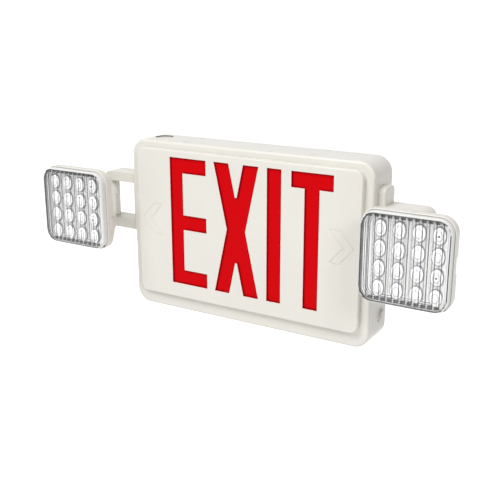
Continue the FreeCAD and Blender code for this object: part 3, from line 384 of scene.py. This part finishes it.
def redAcrylic(name):
    # pigmented acrylic sheet behind the cut letters: saturated and even, with little gloss,
    # and darker close to the letters' walls, which keep the light off it
    material, tree = newMaterial(name)
    place = addNode(tree, "ShaderNodeTexCoord")
    cloud = addNode(tree, "ShaderNodeTexNoise", {"Scale": 1 / (35 * mm), "Detail": 2.0},
                    {"Vector": place.outputs["Object"]})
    tone = addNode(tree, "ShaderNodeMapRange", {"To Min": 0.93, "To Max": 1.0},
                   {"Value": cloud.outputs["Fac"]})
    tint = addNode(tree, "ShaderNodeMix", {"data_type": "RGBA", "blend_type": "MULTIPLY",
                                           0: 1.0, 6: linearColour("#D8060F")},
                   {7: tone.outputs[0]})
    edge = addNode(tree, "ShaderNodeAmbientOcclusion", {"samples": 8, "Distance": 3.0 * mm})
    gap = addNode(tree, "ShaderNodeMapRange", {"From Min": 0.9, "From Max": 0.4},
                  {"Value": edge.outputs["AO"]})
    deep = addNode(tree, "ShaderNodeMix", {"data_type": "RGBA", 7: linearColour("#5E0408")},
                   {0: gap.outputs[0], 6: tint.outputs[2]})
    shader = addNode(tree, "ShaderNodeBsdfPrincipled",
                     {"Roughness": 0.38, "IOR": 1.49, "Specular IOR Level": 0.03},
                     {"Base Color": deep.outputs[2]})
    closeMaterial(tree, shader.outputs[0])
    return material


warmWhite = mouldedPlastic("warmWhiteAbs", "#E8E5DD")
redSheet = redAcrylic("redAcrylicSheet")
# painted reflection: the red that the cut letters' walls mirror from the sheet behind them
redReflectionWall = mouldedPlastic("paintedRedReflectionAbs", "#C81C18", darkestPaintedShade=0.9)
opal = mouldedPlastic("opalAcrylic", "#EEEEEC", roughness=0.35, grainDepthMm=0.004)
trayWhite = mouldedPlastic("reflectiveWhiteAbs", "#F2F2F0", roughness=0.5)
boardGreen = mouldedPlastic("glassEpoxyGreenMask", "#1D5A33", roughness=0.32, grainMm=0.5)
boardWhite = mouldedPlastic("whiteSolderMask", "#E9E9E6", roughness=0.36, grainMm=0.5)
blackNylon = mouldedPlastic("blackNylon", "#1B1B1D", roughness=0.46)
greenNylon = mouldedPlastic("greenNylon", "#1F7A3C", roughness=0.42)
shrinkWrap = mouldedPlastic("blueShrinkWrap", "#2A5FA0", roughness=0.28, grainMm=4.0,
                            grainDepthMm=0.08)
ledRed = mouldedPlastic("redLedEpoxy", "#D0241E", roughness=0.2)
ledYellow = mouldedPlastic("ledPhosphor", "#F0DE7A", roughness=0.4)
ironStack = mouldedPlastic("lacqueredSteelStack", "#3B3A3C", roughness=0.5, grainMm=0.5,
                           grainDepthMm=0.05)
indicatorRed = mouldedPlastic("deepRedLightPipe", "#4A1210", roughness=0.15)
steel = platedSteel("zincPlatedSteel")
silvered = metallisedPlastic("vacuumMetallisedPlastic", "#D2D2D1", 0.75)
# painted shade and painted highlight: darker and lighter copies of the metallised finish for the
# tray's risers and treads
riserShadeSilver = metallisedPlastic("paintedShadeMetallisedPlastic", "#3C3D3F", 0.4)
treadHighlightSilver = metallisedPlastic("paintedHighlightMetallisedPlastic", "#F4F4F3", 0.15)
# painted shade for the edge teeth and the screw crosses; the same dark grey serves the bare chips
shadeAndChipGrey = metallisedPlastic("paintedShadeAndChipPlastic", "#2C2D2F", 0.2)
clearLens = clearPlastic("clearPolycarbonate", "#FAFAFA")
frostedRim = mouldedPlastic("frostedPolycarbonate", "#E9E9E7", roughness=0.22, grainMm=0.5)
bubble = paintedBubbleOptic("paintedRefractionBubbleOptic")
# painted shade: the dark of the knockout's groove
knockoutShadeGrey = mouldedPlastic("paintedShadeKnockoutAbs", "#7C7B77", roughness=0.5)
print("materials ready")

# pieces that keep the frame's own solids

keptFinishes = {
    "back_plate": warmWhite, "red_lens": redSheet, "diffuser": opal, "light_tray": trayWhite,
    "led_strip_top": boardWhite, "led_strip_bottom": boardWhite, "strip_leds_top": ledRed,
    "strip_leds_bottom": ledRed, "control_board": boardGreen, "board_screws": steel,
    "transformer": ironStack, "capacitor": blackNylon, "relay": blackNylon,
    "terminal_block": greenNylon, "battery_pack": shrinkWrap, "battery_strap": steel,
    "button_collar": warmWhite, "test_button": warmWhite, "test_switch": blackNylon,
    "charge_indicator": indicatorRed,
}
for side in ("left", "right"):
    keptFinishes.update({
        side + "_bracket_screws": steel, side + "_tilt_screw": steel,
        side + "_clevis_screws": steel, side + "_lamp_board": boardWhite,
        side + "_lamp_leds": ledYellow, side + "_pan_pin": warmWhite,
    })
for nodeName, finish in keptFinishes.items():
    if nodeName in nodes:
        mesh = nodes[nodeName].data
        mesh.materials.clear()
        mesh.materials.append(finish)

# moulded shells: merged copies with softened edges

shellEdges = {
    # node: bevel width in mm
    "front_cover": 0.45, "housing_frame": 0.45,
    "left_bracket": 0.8, "right_bracket": 0.8,
    "left_knuckle": 0.5, "right_knuckle": 0.5,
    "left_head_shell": 0.3, "right_head_shell": 0.3,
    "left_head_clevis": 0.4, "right_head_clevis": 0.4,
}
shellFinish = {
    "weld": 0.002 * mm,
    "flatDegrees": 0.6,  # faces that meet at less than this are made one
    "segments": 2,
    "bevelDegrees": 40,
    "smoothDegrees": 30,
    "flatWeight": 80,  # how far the large faces pull the shading flat
}


def softenedCopy(nodeName, widthMm):
    source = nodes[nodeName]
    shape = bmesh.new()
    shape.from_mesh(source.data)
    bmesh.ops.remove_doubles(shape, verts=shape.verts, dist=shellFinish["weld"])
    if "head_shell" not in nodeName:  # its narrow rim must stay in small faces
        bmesh.ops.dissolve_limit(shape, angle_limit=math.radians(shellFinish["flatDegrees"]),
                                 verts=shape.verts, edges=shape.edges)
    mesh = bpy.data.meshes.new(nodeName + "Soft")
    shape.to_mesh(mesh)
    shape.free()
    holder = newObject(nodeName + "Soft", mesh)
    bevel = holder.modifiers.new("softEdge", "BEVEL")
    bevel.width = widthMm * mm
    bevel.segments = shellFinish["segments"]
    bevel.limit_method = "ANGLE"
    bevel.angle_limit = math.radians(shellFinish["bevelDegrees"])
    bevel.use_clamp_overlap = True
    bevel.harden_normals = False
    result = bakeModifiers(holder, nodeName + "Moulded")
    smoothMesh(result, shellFinish["smoothDegrees"])
    holder = newObject(nodeName + "Flat", result)
    weighted = holder.modifiers.new("flatFaces", "WEIGHTED_NORMAL")
    weighted.keep_sharp = True
    weighted.weight = shellFinish["flatWeight"]
    result = bakeModifiers(holder, nodeName + "Moulded")
    piece = placeObject(nodeName + "_moulded", result, source["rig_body"],
                        warmWhite)
    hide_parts(nodeName)
    return piece


softPieces = {}
for nodeName, widthMm in shellEdges.items():
    if nodeName in nodes:
        softPieces[nodeName] = softenedCopy(nodeName, widthMm)

letterWallShape = {
    # margins from the cover's edges to just outside the letters
    "left": 57 * mm,
    "right": 41 * mm,
    "top": 14 * mm,
    "foot": 21 * mm,
    "deep": 2.6 * mm,  # a little more than the cover's wall
    "steep": 0.6,  # a wall's normal points out by less than this
}


def paintLetterWallReflection():
    # painted reflection: the cut letters' walls are coloured red, standing in for their glossy
    # walls mirroring the red sheet just behind them
    shape = letterWallShape
    low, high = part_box("front_cover")
    mesh = softPieces["front_cover"].data
    mesh.materials.append(redReflectionWall)
    for face in mesh.polygons:
        x, y, z = face.center
        if (abs(face.normal.y) < shape["steep"] and y < low.y + shape["deep"]
                and low.x + shape["left"] < x < high.x - shape["right"]
                and low.z + shape["foot"] < z < high.z - shape["top"]):
            face.material_index = 1


paintLetterWallReflection()
print("moulded shells ready")

knockoutShape = {
    "inset": 26.5 * mm,  # from the box's left side
    "out": 17.7 * mm,
    "outer": 11.05 * mm,
    "inner": 10.5 * mm,
    "foot": 1.7 * mm,
    "below": 0.2 * mm,
    "slope": 0.15 * mm,  # from the ring's outer edge down to its inner one
    "segments": 64,
    "smoothDegrees": 30,
}


def makeKnockoutRing():
    # the thin web that a conduit knockout breaks along, set in its recess on the top, coloured
    # dark grey as painted shade for the shadow in the recess's groove
    low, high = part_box("housing_frame")
    shape = knockoutShape
    x, y = low.x + shape["inset"], -shape["out"]
    top, foot = high.z - shape["below"], high.z - shape["foot"]
    inner, outer = shape["inner"], shape["outer"]
    turns = [2 * math.pi * k / shape["segments"] for k in range(shape["segments"])]
    ring = bmesh.new()
    loops = [[ring.verts.new((x + math.cos(turn) * radius, y + math.sin(turn) * radius, z))
              for turn in turns]
             for radius, z in ((outer, foot), (outer, top), (inner, top - shape["slope"]),
                               (inner, foot))]
    bridgeLoops(ring, loops, closed=True)
    mesh = finishMesh(ring, "knockoutRing", shape["smoothDegrees"])
    placeObject("knockout_ring", mesh, "housing", knockoutShadeGrey)


makeKnockoutRing()

# lamp heads

lampShape = {
    "flutes": 13,
    "pitch": 6.75 * mm,
    "fluteDepth": 0.2 * mm,
    "wall": 1.9 * mm,
    "edgeRound": 2.2 * mm,
    "innerRound": 0.7,  # the inner face's edge round against the outer one's
    "crown": 0.5 * mm,
    "corner": 15.0 * mm,
    "fadeIn": 1.5 * mm,  # over which the flutes grow from the edge
    "rows": 40,
    "rowEase": 0.35,  # how far the rows crowd towards the top and bottom edges
    "columnsPerFlute": 8,
    "edgeColumns": 4,
    # the front's lines, halfway between the roots, are painted shade too
    "frontLine": 0.42,  # how strong the front's lines are against the flutes' roots
    "rim": 1.7 * mm,  # the frosted outer border
    "near": 0.01,  # of a flute, for a column that counts as its root
    "smoothDegrees": 28,
}


def insideRounded(x, z, half, corner):
    # how far a point lies inside a rounded square
    qx, qz = abs(x) - half + corner, abs(z) - half + corner
    outside = math.hypot(max(qx, 0), max(qz, 0))
    return corner - outside - min(max(qx, qz), 0)


def roundedReach(x, half, corner):
    # the rounded square's half height at x
    past = abs(x) - (half - corner)
    if past <= 0:
        return half
    return half - corner + math.sqrt(max(corner * corner - past * past, 0))


def lensColumns(half):
    # where the columns of points stand: even over the flutes, closer towards the edges
    shape = lampShape
    edge = shape["flutes"] * shape["pitch"] / 2
    across = [-edge + shape["pitch"] * i / shape["columnsPerFlute"]
              for i in range(shape["flutes"] * shape["columnsPerFlute"] + 1)]
    margin = half - edge
    outer = [half - margin * (0.5 - 0.5 * math.cos(math.pi * i / shape["edgeColumns"]))
             for i in range(shape["edgeColumns"])]
    return [-x for x in outer] + across + outer[::-1]


def lensSheet(columns, half, corner, height):
    # grid of points over a rounded square, with height(x, z) giving the distance out
    rows, ease = lampShape["rows"], lampShape["rowEase"]
    sheet = []
    for x in columns:
        reach = roundedReach(x, half, corner)
        line = []
        for j in range(rows + 1):
            v = -math.cos(math.pi * j / rows) * ease + (2 * j / rows - 1) * (1 - ease)
            line.append((x, v * reach, height(x, v * reach)))
        sheet.append(line)
    return sheet


def edgeDrop(depth, radius):
    # how far a rounded edge falls back at this depth inside the outline
    if depth >= radius:
        return 0.0
    return radius - math.sqrt(max(radius * radius - (radius - depth) ** 2, 0))


def fluteLift(x):
    # how far the inner face lies back: not at all in a flute's middle, most at its roots
    shape = lampShape
    edge = shape["flutes"] * shape["pitch"] / 2
    if abs(x) >= edge:
        return shape["fluteDepth"]
    t = ((x + edge) / shape["pitch"]) % 1.0 - 0.5
    return shape["fluteDepth"] * 4 * t * t


def addLensSide(shell, sheet, columns, half, place, isFront):
    # one face of the lens and the skirt behind its rim; gives the points of the skirt's foot
    shape = lampShape
    cusp = shell.verts.layers.float["cusp"]
    verts = [[shell.verts.new((place.x + x, -out, place.z + z)) for x, z, out in line]
             for line in sheet]
    margin = [[insideRounded(x, z, half, shape["corner"]) for x, z, _ in line]
              for line in sheet]
    edge = shape["flutes"] * shape["pitch"] / 2
    # painted shade: mark the columns on the flutes' roots, and on the front those halfway
    # between, to be drawn dark
    for x, column in zip(columns, verts):
        turn = (x + edge) / shape["pitch"] + (0.5 if isFront else 0)
        if abs(turn - round(turn)) < shape["near"]:
            for v in column[1:-1]:
                v[cusp] = shape["frontLine"] if isFront else 1.0
    for i in range(len(verts) - 1):
        for j in range(shape["rows"]):
            quad = [verts[i][j], verts[i + 1][j], verts[i + 1][j + 1], verts[i][j + 1]]
            face = shell.faces.new(quad if isFront else quad[::-1])
            nearest = (margin[i][j] + margin[i + 1][j + 1]) / 2
            face.material_index = int(isFront and nearest < shape["rim"])
    rim = ([line[0] for line in verts] + verts[-1][1:]
           + [line[-1] for line in verts[-2::-1]] + verts[0][-2:0:-1])
    foot = [shell.verts.new((v.co.x, place.y, v.co.z)) for v in rim]
    for i in range(len(rim)):
        follow = (i + 1) % len(rim)
        quad = [rim[i], foot[i], foot[follow], rim[follow]]
        face = shell.faces.new(quad if isFront else quad[::-1])
        face.material_index = int(isFront)
    return foot


def makeLampLens(side):
    shape = lampShape
    low, high, middle = cornersAndMiddle(side + "_lamp_lens")
    half = (high.x - low.x) / 2
    front = -low.y
    innerHalf = half - shape["wall"]

    def crown(x, z):
        # how far the face falls back, all of the crown's height at the corners
        return shape["crown"] * ((x / half) ** 2 + (z / half) ** 2) / 2

    def outer(x, z):
        depth = insideRounded(x, z, half, shape["corner"])
        return front - crown(x, z) - edgeDrop(max(depth, 0), shape["edgeRound"])

    def inner(x, z):
        depth = insideRounded(x, z, innerHalf, shape["corner"] - shape["wall"])
        fade = min(max(depth, 0) / shape["fadeIn"], 1)
        return (front - shape["wall"] - crown(x, z) - fluteLift(x) * fade
                - edgeDrop(max(depth, 0), shape["edgeRound"] * shape["innerRound"]))

    columns = lensColumns(innerHalf)
    wide = [x * half / innerHalf for x in columns]
    frontSheet = lensSheet(wide, half, shape["corner"], outer)
    backSheet = lensSheet(columns, innerHalf, shape["corner"] - shape["wall"], inner)
    place = Vector((middle.x, high.y, middle.z))
    shell = bmesh.new()
    shell.verts.layers.float.new("cusp")
    feet = [addLensSide(shell, sheet, columns, half, place, isFront)
            for sheet, isFront in ((frontSheet, True), (backSheet, False))]
    bridgeLoops(shell, feet)
    mesh = finishMesh(shell, side + "FlutedLens", shape["smoothDegrees"])
    mesh.materials.append(clearLens)
    mesh.materials.append(frostedRim)
    piece = placeObject(side + "_fluted_lens", mesh, side + "_head")
    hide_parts(side + "_lamp_lens")


trayShape = {
    "half": 43.9 * mm,
    "corner": 13.0 * mm,
    "raised": 2.8 * mm,  # the rim above the plain reflector's front
    "steps": 4,
    "riser": 1.3 * mm,
    "riserLine": 0.8 * mm,  # the shaded foot of each riser
    "tread": 1.6 * mm,
    "treadLine": 0.35 * mm,  # the shade that a riser throws on its tread
    "lip": 0.5 * mm,
    "cornerSpokes": 10,
    "smoothDegrees": 40,
}


def roundedLoop(half, corner, spokes):
    # points round a rounded square, anticlockwise as seen from the front
    points = []
    for turn, (sx, sz) in enumerate(((1, 1), (-1, 1), (-1, -1), (1, -1))):
        for k in range(spokes + 1):
            a = math.pi / 2 * (turn + k / spokes)
            points.append((sx * (half - corner) + math.cos(a) * corner,
                           sz * (half - corner) + math.sin(a) * corner))
    return points


def makeReflector(side):
    # a stepped tray: treads in a painted highlight, each with a painted shadow from its riser,
    # risers in painted shade at their foot, a gutter, then the bright floor
    shape = trayShape
    low, high, middle = cornersAndMiddle(side + "_reflector")
    out = -low.y + shape["raised"]
    inset = shape["lip"]
    # the plain finish, then its copies in painted shade and in a painted highlight
    finishes = [silvered, riserShadeSilver, treadHighlightSilver]
    plain, shaded, bright = range(len(finishes))
    # each ring: how far it is set in and out, and the finish of the band before it
    rings = [(0, -high.y, plain), (0, out, plain), (inset, out, plain)]
    for _ in range(shape["steps"]):
        out -= shape["riser"] - shape["riserLine"]
        rings.append((inset, out, plain))
        out -= shape["riserLine"]
        rings.append((inset, out, shaded))
        inset += shape["treadLine"]
        rings.append((inset, out, shaded))
        inset += shape["tread"] - shape["treadLine"]
        rings.append((inset, out, bright))
    tray = bmesh.new()
    loops = [[tray.verts.new((middle.x + x, -depth, middle.z + z))
              for x, z in roundedLoop(shape["half"] - setIn, shape["corner"] - setIn,
                                      shape["cornerSpokes"])]
             for setIn, depth, _ in rings]
    for first, second, ring in zip(loops, loops[1:], rings[1:]):
        for face in bridgeLoops(tray, [first, second]):
            face.material_index = ring[-1]
    tray.faces.new(loops[-1])
    tray.faces.new(loops[0][::-1])
    mesh = finishMesh(tray, side + "Reflector", shape["smoothDegrees"])
    for finish in finishes:
        mesh.materials.append(finish)
    piece = placeObject(side + "_silvered_reflector", mesh, side + "_head")
    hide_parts(side + "_reflector")


opticShape = {
    "columns": 4,
    "rows": 4,
    "pitchWide": 19.6 * mm,
    "pitchTall": 20.4 * mm,
    "halfWide": 6.8 * mm,
    "halfTall": 9.4 * mm,
    "drop": 1.8 * mm,  # below the reflector's middle
    "outward": 2.4 * mm,  # from the middle, away from the box
    "height": 3.4 * mm,
    "sink": 2.2 * mm,  # how far the dome's foot lies behind the reflector's front
    "rings": 9,
    "spokes": 28,
    "smoothDegrees": 60,
}


def domeMesh():
    # half an egg on an oval foot; reach is 0 at its crown and 1 at its rim
    shape = opticShape
    dome = bmesh.new()
    reachLayer = dome.verts.layers.float.new("reach")
    crown = dome.verts.new((0, -shape["height"], 0))
    rings = []
    for i in range(1, shape["rings"] + 1):
        reach = math.sin(math.pi / 2 * i / shape["rings"])
        lift = math.cos(math.pi / 2 * i / shape["rings"])
        ring = []
        for k in range(shape["spokes"]):
            a = 2 * math.pi * k / shape["spokes"]
            v = dome.verts.new((math.cos(a) * reach * shape["halfWide"],
                                -lift * shape["height"],
                                math.sin(a) * reach * shape["halfTall"]))
            v[reachLayer] = reach
            ring.append(v)
        rings.append(ring)
    for k in range(shape["spokes"]):
        dome.faces.new([crown, rings[0][(k + 1) % shape["spokes"]], rings[0][k]])
    bridgeLoops(dome, rings)
    dome.faces.new(rings[-1])
    return finishMesh(dome, "opticDome", shape["smoothDegrees"])


def newTree(name, inputs):
    # a geometry tree with named inputs: (name, socket kind, default)
    tree = bpy.data.node_groups.new(name, "GeometryNodeTree")
    tree.interface.new_socket("Geometry", in_out="OUTPUT", socket_type="NodeSocketGeometry")
    for label, kind, default in inputs:
        socket = tree.interface.new_socket(label, in_out="INPUT", socket_type=kind)
        if default is not None:
            socket.default_value = default
    return tree, addNode(tree, "NodeGroupInput").outputs


def closeTree(tree, geometry, material):
    real = addNode(tree, "GeometryNodeRealizeInstances", links={"Geometry": geometry})
    painted = addNode(tree, "GeometryNodeSetMaterial", {"Material": material},
                      {"Geometry": real.outputs[0]})
    addNode(tree, "NodeGroupOutput", links={"Geometry": painted.outputs[0]})


def runTree(name, tree, values):
    holder = newObject(name, bpy.data.meshes.new(name))
    modifier = holder.modifiers.new("build", "NODES")
    modifier.node_group = tree
    for item in tree.interface.items_tree:
        if item.in_out == "INPUT" and item.name in values:
            modifier[item.identifier] = values[item.name]
    return bakeModifiers(holder, name)


def gridTree(source, material):
    # copies of one piece on an upright grid, each turned the same way
    tree, given = newTree("uprightGrid", [
        ("Columns", "NodeSocketInt", 4), ("Rows", "NodeSocketInt", 4),
        ("Pitch X", "NodeSocketFloat", 0.02), ("Pitch Z", "NodeSocketFloat", 0.02),
        ("Middle", "NodeSocketVector", None), ("Turn", "NodeSocketVector", None)])
    spans = []
    for label, pitch in (("Columns", "Pitch X"), ("Rows", "Pitch Z")):
        fewer = addNode(tree, "ShaderNodeMath", {"operation": "SUBTRACT", 1: 1.0},
                        {0: given[label]})
        spans.append(addNode(tree, "ShaderNodeMath", {"operation": "MULTIPLY"},
                             {0: fewer.outputs[0], 1: given[pitch]}))
    grid = addNode(tree, "GeometryNodeMeshGrid", links={
        "Size X": spans[0].outputs[0], "Size Y": spans[1].outputs[0],
        "Vertices X": given["Columns"], "Vertices Y": given["Rows"]})
    upright = addNode(tree, "GeometryNodeTransform", {"Rotation": (math.pi / 2, 0, 0)},
                      {"Geometry": grid.outputs["Mesh"], "Translation": given["Middle"]})
    piece = addNode(tree, "GeometryNodeObjectInfo", {"Object": source})
    copies = addNode(tree, "GeometryNodeInstanceOnPoints",
                     links={"Points": upright.outputs[0], "Instance": piece.outputs["Geometry"],
                            "Rotation": given["Turn"]})
    closeTree(tree, copies.outputs[0], material)
    return tree


pelletShape = {
    "radius": 1.15 * mm,
    "proud": 0.5 * mm,
    # each ring's size and height, as parts of radius and proud
    "profile": ((1.0, -0.6), (1.0, 0.5), (0.8, 0.9), (0.4, 1.0)),
    "spokes": 16,
    "sink": 0.2,  # of proud, into the bubble's crown
    "rows": (0, 2),  # counted from the top, in the column by the right edge
    "smoothDegrees": 40,
}


def pelletMesh():
    # a low round pellet, the bare chip that shows at the crown of two bubbles
    shape = pelletShape
    pellet = bmesh.new()
    turns = [2 * math.pi * k / shape["spokes"] for k in range(shape["spokes"])]
    rings = [[pellet.verts.new((math.cos(a) * reach * shape["radius"], -lift * shape["proud"],
                                math.sin(a) * reach * shape["radius"])) for a in turns]
             for reach, lift in shape["profile"]]
    return cappedMesh(pellet, rings, "bubblePellet", shape["smoothDegrees"])


crossShape = {
    "long": 2.9 * mm,
    "wide": 0.75 * mm,
    "proud": 0.04 * mm,
    "sunk": 0.3 * mm,
    "floor": 0.55,  # the inner outline against the outer one
}


def crossMesh():
    # the shaded cross recess of a driven screw
    shape = crossShape
    a, b = shape["long"] / 2, shape["wide"] / 2
    outline = [(b, a), (b, b), (a, b), (a, -b), (b, -b), (b, -a),
               (-b, -a), (-b, -b), (-a, -b), (-a, b), (-b, b), (-b, a)]
    cross = bmesh.new()
    loops = [[cross.verts.new((x * k, y, z * k)) for x, z in outline]
             for y, k in ((shape["sunk"], 1), (-shape["proud"], 1),
                          (-shape["proud"] / 2, shape["floor"]))]
    return cappedMesh(cross, loops, "crossRecess")


def makeCrosses(side, tree):
    low, high, middle = cornersAndMiddle(side + "_clevis_screws")
    pitch = (high.z - low.z) - (high.x - low.x)
    mesh = runTree(side + "ClevisCrosses", tree, {
        "Columns": 1, "Rows": 2, "Pitch X": pitch, "Pitch Z": pitch,
        "Middle": (middle.x, high.y, middle.z), "Turn": (0, 0, math.pi)})
    placeObject(side + "_clevis_crosses", mesh, side + "_head")
    low, high, middle = cornersAndMiddle(side + "_tilt_screw")
    for label, x, turn in (("inner", low.x, -1), ("outer", high.x, 1)):
        mesh = runTree(side + label + "Cross", tree, {
            "Columns": 1, "Rows": 1, "Pitch X": pitch, "Pitch Z": pitch,
            "Middle": (x, middle.y, middle.z), "Turn": (0, 0, turn * math.pi / 2)})
        placeObject(side + "_tilt_cross_" + label, mesh, side + "_head")


def bubbleMiddle(x):
    # the bubbles' middle, a little further from the box than the reflector's
    return x + math.copysign(opticShape["outward"], x)


def makePellets(side, tree):
    low, _, middle = cornersAndMiddle(side + "_reflector")
    first, second = pelletShape["rows"]
    wide, tall = opticShape["pitchWide"], opticShape["pitchTall"]
    lastColumn, lastRow = (opticShape["columns"] - 1) / 2, (opticShape["rows"] - 1) / 2
    out = (low.y + opticShape["sink"] - opticShape["height"]
           + pelletShape["proud"] * pelletShape["sink"])
    mesh = runTree(side + "Pellets", tree, {
        "Columns": 1, "Rows": 2, "Pitch X": wide, "Pitch Z": tall * (second - first),
        "Middle": (bubbleMiddle(middle.x) + wide * lastColumn, out,
                   middle.z - opticShape["drop"] + tall * (lastRow - (first + second) / 2))})
    placeObject(side + "_bubble_pellets", mesh, side + "_head")


def makeOptics(side, tree):
    low, _, middle = cornersAndMiddle(side + "_reflector")
    mesh = runTree(side + "Optics", tree, {
        "Columns": opticShape["columns"], "Rows": opticShape["rows"],
        "Pitch X": opticShape["pitchWide"], "Pitch Z": opticShape["pitchTall"],
        "Middle": (bubbleMiddle(middle.x), low.y + opticShape["sink"],
                   middle.z - opticShape["drop"])})
    placeObject(side + "_bubble_optics", mesh, side + "_head")


toothShape = {
    "lowerCount": 13,
    "upperCount": 12,
    "pitch": 6.75 * mm,
    "wide": 4.9 * mm,
    "tall": 3.1 * mm,
    "proud": 1.6 * mm,
    "fromMiddle": 41.6 * mm,
    "rise": 0.9 * mm,  # of the teeth's foot above the reflector's front
    # each ring: how much it narrows, as a part of tall, and how far out it is, of proud
    "profile": ((0, 0), (0, 0.6), (0.25, 1.0)),
    "bowPower": 0.5,  # below 1 the outline grows squarer
    "risePower": 0.7,
    "spokes": 12,
    "smoothDegrees": 50,
}


def signedPower(value, power):
    return math.copysign(abs(value) ** power, value)


def toothMesh():
    # a lozenge with its front edge rounded off; in its dark finish a row of them is painted
    # shade, standing in for the dark spots where the lens's edges send the light aside
    shape = toothShape
    tooth = bmesh.new()
    rings = []
    for shrink, lift in shape["profile"]:
        w = shape["wide"] / 2 - shrink * shape["tall"] / 2
        t = shape["tall"] / 2 * (1 - shrink)
        turns = [2 * math.pi * (k + 0.5) / shape["spokes"] for k in range(shape["spokes"])]
        rings.append([tooth.verts.new((signedPower(math.cos(a), shape["bowPower"]) * w,
                                       -lift * shape["proud"],
                                       signedPower(math.sin(a), shape["risePower"]) * t))
                      for a in turns])
    return cappedMesh(tooth, rings, "edgeTooth", shape["smoothDegrees"])


def makeTeeth(side, tree):
    low, _, middle = cornersAndMiddle(side + "_reflector")
    for name, way, count in (("lower", -1, toothShape["lowerCount"]),
                             ("upper", 1, toothShape["upperCount"])):
        mesh = runTree(side + name + "Teeth", tree, {
            "Columns": count, "Rows": 1,
            "Pitch X": toothShape["pitch"], "Pitch Z": toothShape["pitch"],
            "Middle": (middle.x, low.y - toothShape["rise"],
                       middle.z + way * toothShape["fromMiddle"])})
        placeObject(side + "_" + name + "_teeth", mesh, side + "_head")


sources = {name: newObject(name, makeMesh()) for name, makeMesh in (
    ("opticDome", domeMesh), ("edgeTooth", toothMesh), ("bubblePellet", pelletMesh),
    ("crossRecess", crossMesh))}
opticTree = gridTree(sources["opticDome"], bubble)
toothTree = gridTree(sources["edgeTooth"], shadeAndChipGrey)
pelletTree = gridTree(sources["bubblePellet"], shadeAndChipGrey)
crossTree = gridTree(sources["crossRecess"], shadeAndChipGrey)
for side in ("left", "right"):
    makeTeeth(side, toothTree)
    makePellets(side, pelletTree)
    makeCrosses(side, crossTree)
    makeLampLens(side)
    makeReflector(side)
    makeOptics(side, opticTree)
for source in sources.values():
    bpy.data.objects.remove(source)
print("lamp heads ready")
